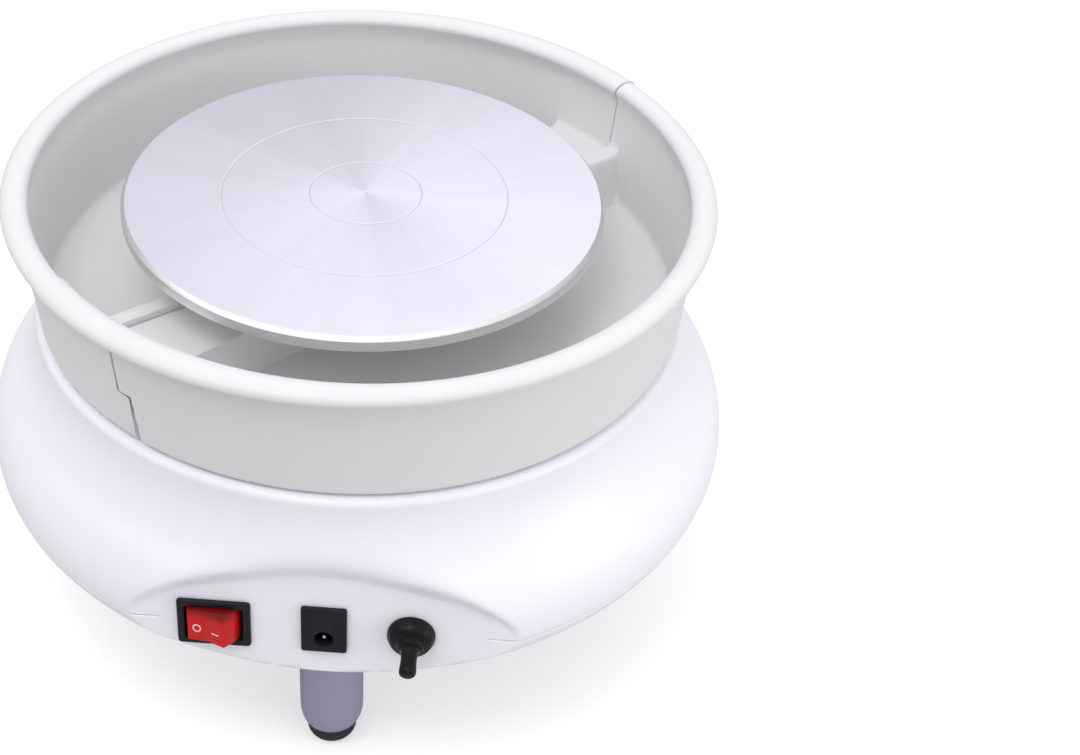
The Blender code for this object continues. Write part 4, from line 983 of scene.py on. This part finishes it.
# %% [markdown]
# ## Finishes
#
# Each finish starts from the same two effects, made once as node groups. The first breaks up the
# gloss: real plastic and metal carry faint smudges, so the roughness wanders a little between two
# values. The second is the fine texture of the surface itself, as a bump. Both work in object
# coordinates, so the grain stays put on the piece and has its real size.

# %% Shared effects
def node_group(name, inputs, output, kind):
    """An empty shader group. An input is a float or a colour, as its starting value is."""
    group = bpy.data.node_groups.new(name, "ShaderNodeTree")
    for label, value in inputs.items():
        sort = "NodeSocketFloat" if isinstance(value, float) else "NodeSocketColor"
        socket = group.interface.new_socket(label, in_out="INPUT", socket_type=sort)
        socket.default_value = value
    group.interface.new_socket(output, in_out="OUTPUT", socket_type=kind)
    return group, group.nodes.new("NodeGroupInput"), group.nodes.new("NodeGroupOutput")


def wandering_gloss():
    """Roughness between Low and High, by two layers of noise: broad smudges and finer ones."""
    group, start, end = node_group("wandering_gloss", {"Low": 0.2, "High": 0.3, "Size": 12.0},
                                   "Roughness", "NodeSocketFloat")
    group.interface.new_socket("Mask", in_out="OUTPUT", socket_type="NodeSocketFloat")
    place = add(group, "ShaderNodeTexCoord")
    broad = add(group, "ShaderNodeTexNoise", Detail=4.0, Roughness=0.55)
    fine = add(group, "ShaderNodeTexNoise", Detail=2.0, Roughness=0.5)
    finer = add(group, "ShaderNodeMath", 7.0, operation="MULTIPLY")
    both = add(group, "ShaderNodeMath", 0.25, operation="MULTIPLY_ADD")
    spread, mask = (add(group, "ShaderNodeMapRange", From_Min=0.42, From_Max=0.83) for _ in "ab")
    wire(group, (place, "Object", broad, "Vector"), (place, "Object", fine, "Vector"),
         (start, "Size", broad, "Scale"), (start, "Size", finer, 0), (finer, 0, fine, "Scale"),
         (fine, "Fac", both, 0), (broad, "Fac", both, 2), (both, 0, spread, "Value"),
         (both, 0, mask, "Value"), (start, "Low", spread, "To Min"), (start, "High", spread, "To Max"),
         (spread, 0, end, "Roughness"), (mask, 0, end, "Mask"))
    return group


def skin_grain():
    """A bump from noise of a given size."""
    group, start, end = node_group("skin_grain", {"Size": 400.0, "Strength": 0.05, "Depth": 0.0001},
                                   "Normal", "NodeSocketVector")
    place = add(group, "ShaderNodeTexCoord")
    grain = add(group, "ShaderNodeTexNoise", Detail=3.0, Roughness=0.5)
    bump = add(group, "ShaderNodeBump")
    wire(group, (place, "Object", grain, "Vector"), (start, "Size", grain, "Scale"),
         (grain, "Fac", bump, "Height"), (start, "Strength", bump, "Strength"),
         (start, "Depth", bump, "Distance"), (bump, "Normal", end, "Normal"))
    return group


def two_tone():
    """Two colours, mixed by a mask: the second is another tone of the first, and on the paddle a darker
    red for painted shade.
    """
    white = (1.0, 1.0, 1.0, 1.0)
    group, start, end = node_group("two_tone", {"Colour": white, "Tone_or_painted_shade": white, "Mask": 0.0},
                                   "Colour", "NodeSocketColor")
    mix = add(group, "ShaderNodeMix", data_type="RGBA")
    wire(group, (start, "Mask", mix, MIX_FACTOR), (start, "Colour", mix, MIX_A),
         (start, "Tone_or_painted_shade", mix, MIX_B), (mix, MIX_RESULT, end, "Colour"))
    return group


GLOSS, GRAIN, TONE = wandering_gloss(), skin_grain(), two_tone()
print("node groups:", [g.name for g in (GLOSS, GRAIN, TONE)])

# %% [markdown]
# ### One recipe, many finishes
#
# A moulded, painted or cast finish is then only a choice of numbers: two nearly equal colours, two
# roughnesses, the size of the smudges, and the size and depth of the grain. Numbers that are the
# same all over go straight on the shader.

# %% Making a finish
FINISHES = {}


def finish(name, colour, tone_or_painted_shade, gloss, grain, **shader):
    """A material from the shared effects. shader holds constants for the Principled sockets."""
    material = bpy.data.materials.new(name)
    material.use_nodes = True
    tree = material.node_tree
    surface = tree.nodes["Principled BSDF"]
    for key, value in shader.items():
        surface.inputs[key.replace("_", " ")].default_value = value
    shine, tone, skin = (add(tree, "ShaderNodeGroup", node_tree=group, name=group.name)
                         for group in (GLOSS, TONE, GRAIN))
    for node, values in ((shine, gloss), (tone, ((*colour, 1.0), (*tone_or_painted_shade, 1.0))), (skin, grain)):
        for socket, value in zip(node.inputs, values):
            socket.default_value = value
    wire(tree, (shine, "Mask", tone, "Mask"), (tone, "Colour", surface, "Base Color"),
         (shine, "Roughness", surface, "Roughness"), (skin, "Normal", surface, "Normal"))
    FINISHES[name] = material
    return material


finish("shell_white", (0.90, 0.888, 0.95), (0.89, 0.878, 0.938), (0.3, 0.38, 9.0),
       (110.0, 0.03, 0.00006), Specular_IOR_Level=0.35)
# The pan's white is darker than the base's: partly painted shade, which keeps its side walls dim.
finish("pan_white", (0.76, 0.757, 0.765), (0.745, 0.742, 0.75), (0.38, 0.46, 11.0),
       (120.0, 0.03, 0.00006), Specular_IOR_Level=0.3)
finish("leg_lacquer", (0.37, 0.345, 0.485), (0.355, 0.33, 0.465), (0.34, 0.46, 22.0),
       (900.0, 0.25, 0.00006), Metallic=0.35, Coat_Weight=0.15, Coat_Roughness=0.3)
finish("foot_black", (0.022, 0.021, 0.028), (0.034, 0.033, 0.04), (0.5, 0.68, 40.0),
       (1500.0, 0.4, 0.0001), Specular_IOR_Level=0.25)
finish("switch_black", (0.010, 0.010, 0.014), (0.015, 0.015, 0.020), (0.34, 0.46, 50.0),
       (2600.0, 0.35, 0.00005), Specular_IOR_Level=0.15)
finish("boot_black", (0.005, 0.005, 0.006), (0.009, 0.009, 0.010), (0.28, 0.42, 70.0),
       (2200.0, 0.25, 0.00005), Specular_IOR_Level=0.16)
# The paddle's dark second red is painted shade, used near its top.
finish("paddle_red", (0.60, 0.010, 0.010), (0.16, 0.004, 0.005), (0.16, 0.24, 60.0),
       (700.0, 0.04, 0.00004), Specular_IOR_Level=0.2, Subsurface_Weight=0.3, Subsurface_Scale=0.002)
finish("print_white", (0.86, 0.84, 0.86), (0.78, 0.76, 0.78), (0.4, 0.5, 300.0), (3000.0, 0.2, 0.00003))
finish("bright_steel", (0.66, 0.66, 0.68), (0.56, 0.56, 0.58), (0.22, 0.38, 60.0),
       (1200.0, 0.2, 0.00004), Metallic=1.0)
finish("cast_grey", (0.54, 0.55, 0.57), (0.44, 0.45, 0.47), (0.45, 0.62, 40.0), (900.0, 0.6, 0.0002),
       Metallic=1.0)
finish("passivated", (0.62, 0.63, 0.64), (0.60, 0.58, 0.50), (0.3, 0.48, 14.0), (500.0, 0.15, 0.00005),
       Metallic=1.0)
finish("enamel_black", (0.025, 0.025, 0.027), (0.036, 0.036, 0.038), (0.3, 0.42, 25.0),
       (600.0, 0.35, 0.0001), Coat_Weight=0.3)
finish("belt_rubber", (0.03, 0.03, 0.032), (0.045, 0.044, 0.042), (0.55, 0.72, 60.0),
       (1400.0, 0.5, 0.00015))
finish("board_green", (0.012, 0.13, 0.045), (0.02, 0.18, 0.06), (0.25, 0.4, 120.0),
       (1800.0, 0.3, 0.0001), Coat_Weight=0.4)
finish("lead_black", (0.028, 0.028, 0.03), (0.04, 0.04, 0.042), (0.4, 0.52, 80.0),
       (1600.0, 0.3, 0.00006))
finish("lead_red", (0.42, 0.03, 0.025), (0.36, 0.025, 0.02), (0.38, 0.5, 80.0), (1600.0, 0.3, 0.00006))

# %% [markdown]
# ### Turned aluminium
#
# A lathe leaves thousands of fine rings, and they smear a highlight into a bow tie across the disc.
# Two things make that: an anisotropic shader whose grain runs round the axis, and a bump that
# depends only on the distance from the axis, so the rings are also there close up.

# %% Turned face
def turned_face():
    """Rings from noise of the distance to the axis, and faint rays from noise of the direction.

    The top keeps the bluer tone, and the edge below it is painted a neutral grey, a painted reflection
    of the grey pan; both are one aluminium. Height tells them apart: mask = z > top - 0.3 mm.
    """
    material = finish("turned_face", (0.775, 0.762, 0.855), (0.73, 0.717, 0.805),
                      (0.30, 0.36, 16.0), (500.0, 0.05, 0.00002), Metallic=1.0, Anisotropic=0.72)
    tree = material.node_tree
    surface, tone = tree.nodes["Principled BSDF"], tree.nodes["two_tone"]
    place = add(tree, "ShaderNodeTexCoord")
    flat = add(tree, "ShaderNodeVectorMath", (1.0, 1.0, 0.0), operation="MULTIPLY")
    away = add(tree, "ShaderNodeVectorMath", operation="LENGTH")
    rings = add(tree, "ShaderNodeTexNoise", noise_dimensions="1D", Scale=900.0, Detail=1.0)
    bump = add(tree, "ShaderNodeBump", Strength=0.05, Distance=0.00004)
    tangent = add(tree, "ShaderNodeTangent", direction_type="RADIAL", axis="Z")
    wire(tree, (place, "Object", flat, 0), (flat, 0, away, 0), (away, "Value", rings, "W"),
         (rings, "Fac", bump, "Height"), (bump, "Normal", surface, "Normal"),
         (tangent, 0, surface, "Tangent"))

    outward = add(tree, "ShaderNodeVectorMath", operation="NORMALIZE")
    rays = add(tree, "ShaderNodeTexNoise", Scale=2.6, Detail=3.0, Roughness=0.6)
    contrast = add(tree, "ShaderNodeMapRange", From_Min=0.3, From_Max=0.7)
    wire(tree, (flat, 0, outward, 0), (outward, 0, rays, "Vector"), (rays, "Fac", contrast, "Value"),
         (contrast, 0, tone, "Mask"))

    split = add(tree, "ShaderNodeSeparateXYZ")
    on_top = add(tree, "ShaderNodeMath", HEAD_TOP - 0.3 * MM, operation="GREATER_THAN")
    # The edge's neutral grey is a painted reflection of the pan.
    by_height = add(tree, "ShaderNodeMix", data_type="RGBA")
    by_height.inputs[MIX_A].default_value = (0.90, 0.895, 0.885, 1.0)
    wire(tree, (place, "Object", split, 0), (split, "Z", on_top, 0),
         (on_top, 0, by_height, MIX_FACTOR), (tone, "Colour", by_height, MIX_B),
         (by_height, MIX_RESULT, surface, "Base Color"))


turned_face()


def painted_shade_by_height(material, low, high):
    """Painted shade by height: mask = smooth step of (z - low) / (high - low), towards the second tone.
    """
    tree = material.node_tree
    place = add(tree, "ShaderNodeTexCoord")
    split = add(tree, "ShaderNodeSeparateXYZ")
    painted_shade = add(tree, "ShaderNodeMapRange", interpolation_type="SMOOTHSTEP",
               From_Min=low, From_Max=high)
    wire(tree, (place, "Object", split, 0), (split, "Z", painted_shade, "Value"),
         (painted_shade, 0, tree.nodes["two_tone"], "Mask"))


# The paddle darkens towards its top: painted shade under the frame's upper edge.
paddle_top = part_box("rocker_paddle")[1].z
painted_shade_by_height(FINISHES["paddle_red"], paddle_top - 7 * MM, paddle_top + 1 * MM)

# %% [markdown]
# ## Dressing the pieces
#
# Every new piece gets its finish by name, and so does every node of the model that still shows. A
# reader who takes the base apart will find the bearings, the belt and the circuit board finished too.

# %% Finishes on the new pieces
DRESS = {
    "wheel_plate": "turned_face", "pan_half_front": "pan_white", "pan_half_rear": "pan_white",
    "dome": "shell_white", "tray": "shell_white", "rocker_frame": "switch_black",
    "rocker_key": "paddle_red", "rocker_marks": "print_white", "jack_plate": "switch_black",
    "jack_contact": "bright_steel", "toggle_rubber": "boot_black",
}
for leg in ("front", "right", "left"):
    DRESS["post_" + leg] = "leg_lacquer"
    DRESS["tip_" + leg] = "foot_black"
for name, material in DRESS.items():
    mesh = bpy.data.objects[name].data
    mesh.materials.clear()
    mesh.materials.append(FINISHES[material])

# %% Finishes on the model's own nodes
NODE_FINISH = {
    "head_hub": "cast_grey", "bearing_housing": "cast_grey", "driven_pulley": "cast_grey",
    "heat_sink": "cast_grey", "shaft_seal": "foot_black", "drive_belt": "belt_rubber",
    "motor_body": "enamel_black", "motor_bracket": "passivated", "chassis_plate": "passivated",
    "board_carrier": "switch_black", "control_board": "board_green", "supply_lead": "lead_black",
    "motor_lead": "lead_red", "toggle_body": "switch_black",
}
for name, node in frame["nodes"].items():
    material = FINISHES[NODE_FINISH.get(name, "bright_steel")]
    for spot in node.material_slots:
        spot.material = material
print("finishes:", len(FINISHES))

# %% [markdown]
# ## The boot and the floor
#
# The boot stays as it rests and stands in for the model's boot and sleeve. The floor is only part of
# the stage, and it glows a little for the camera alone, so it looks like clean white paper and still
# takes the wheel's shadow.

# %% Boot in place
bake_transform(boot)
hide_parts("toggle_boot", "lever_sleeve")

# %% Floor
floor_mesh = sew([[(-6, -6, 0), (6, -6, 0), (6, 6, 0), (-6, 6, 0)]], capped=(0,))
floor_sheet = finish("floor_sheet", (0.62, 0.62, 0.62), (0.61, 0.61, 0.61), (0.8, 0.9, 2.0),
                     (40.0, 0.02, 0.0001), Emission_Color=(1.0, 1.0, 1.0, 1.0))
tree = floor_sheet.node_tree
ray = add(tree, "ShaderNodeLightPath")
glow = add(tree, "ShaderNodeMath", 0.48, operation="MULTIPLY")
wire(tree, (ray, "Is Camera Ray", glow, 0),
     (glow, 0, tree.nodes["Principled BSDF"], "Emission Strength"))
floor_mesh.materials.append(floor_sheet)
floor = bpy.data.objects.new("floor", floor_mesh)
bpy.context.scene.collection.objects.link(floor)
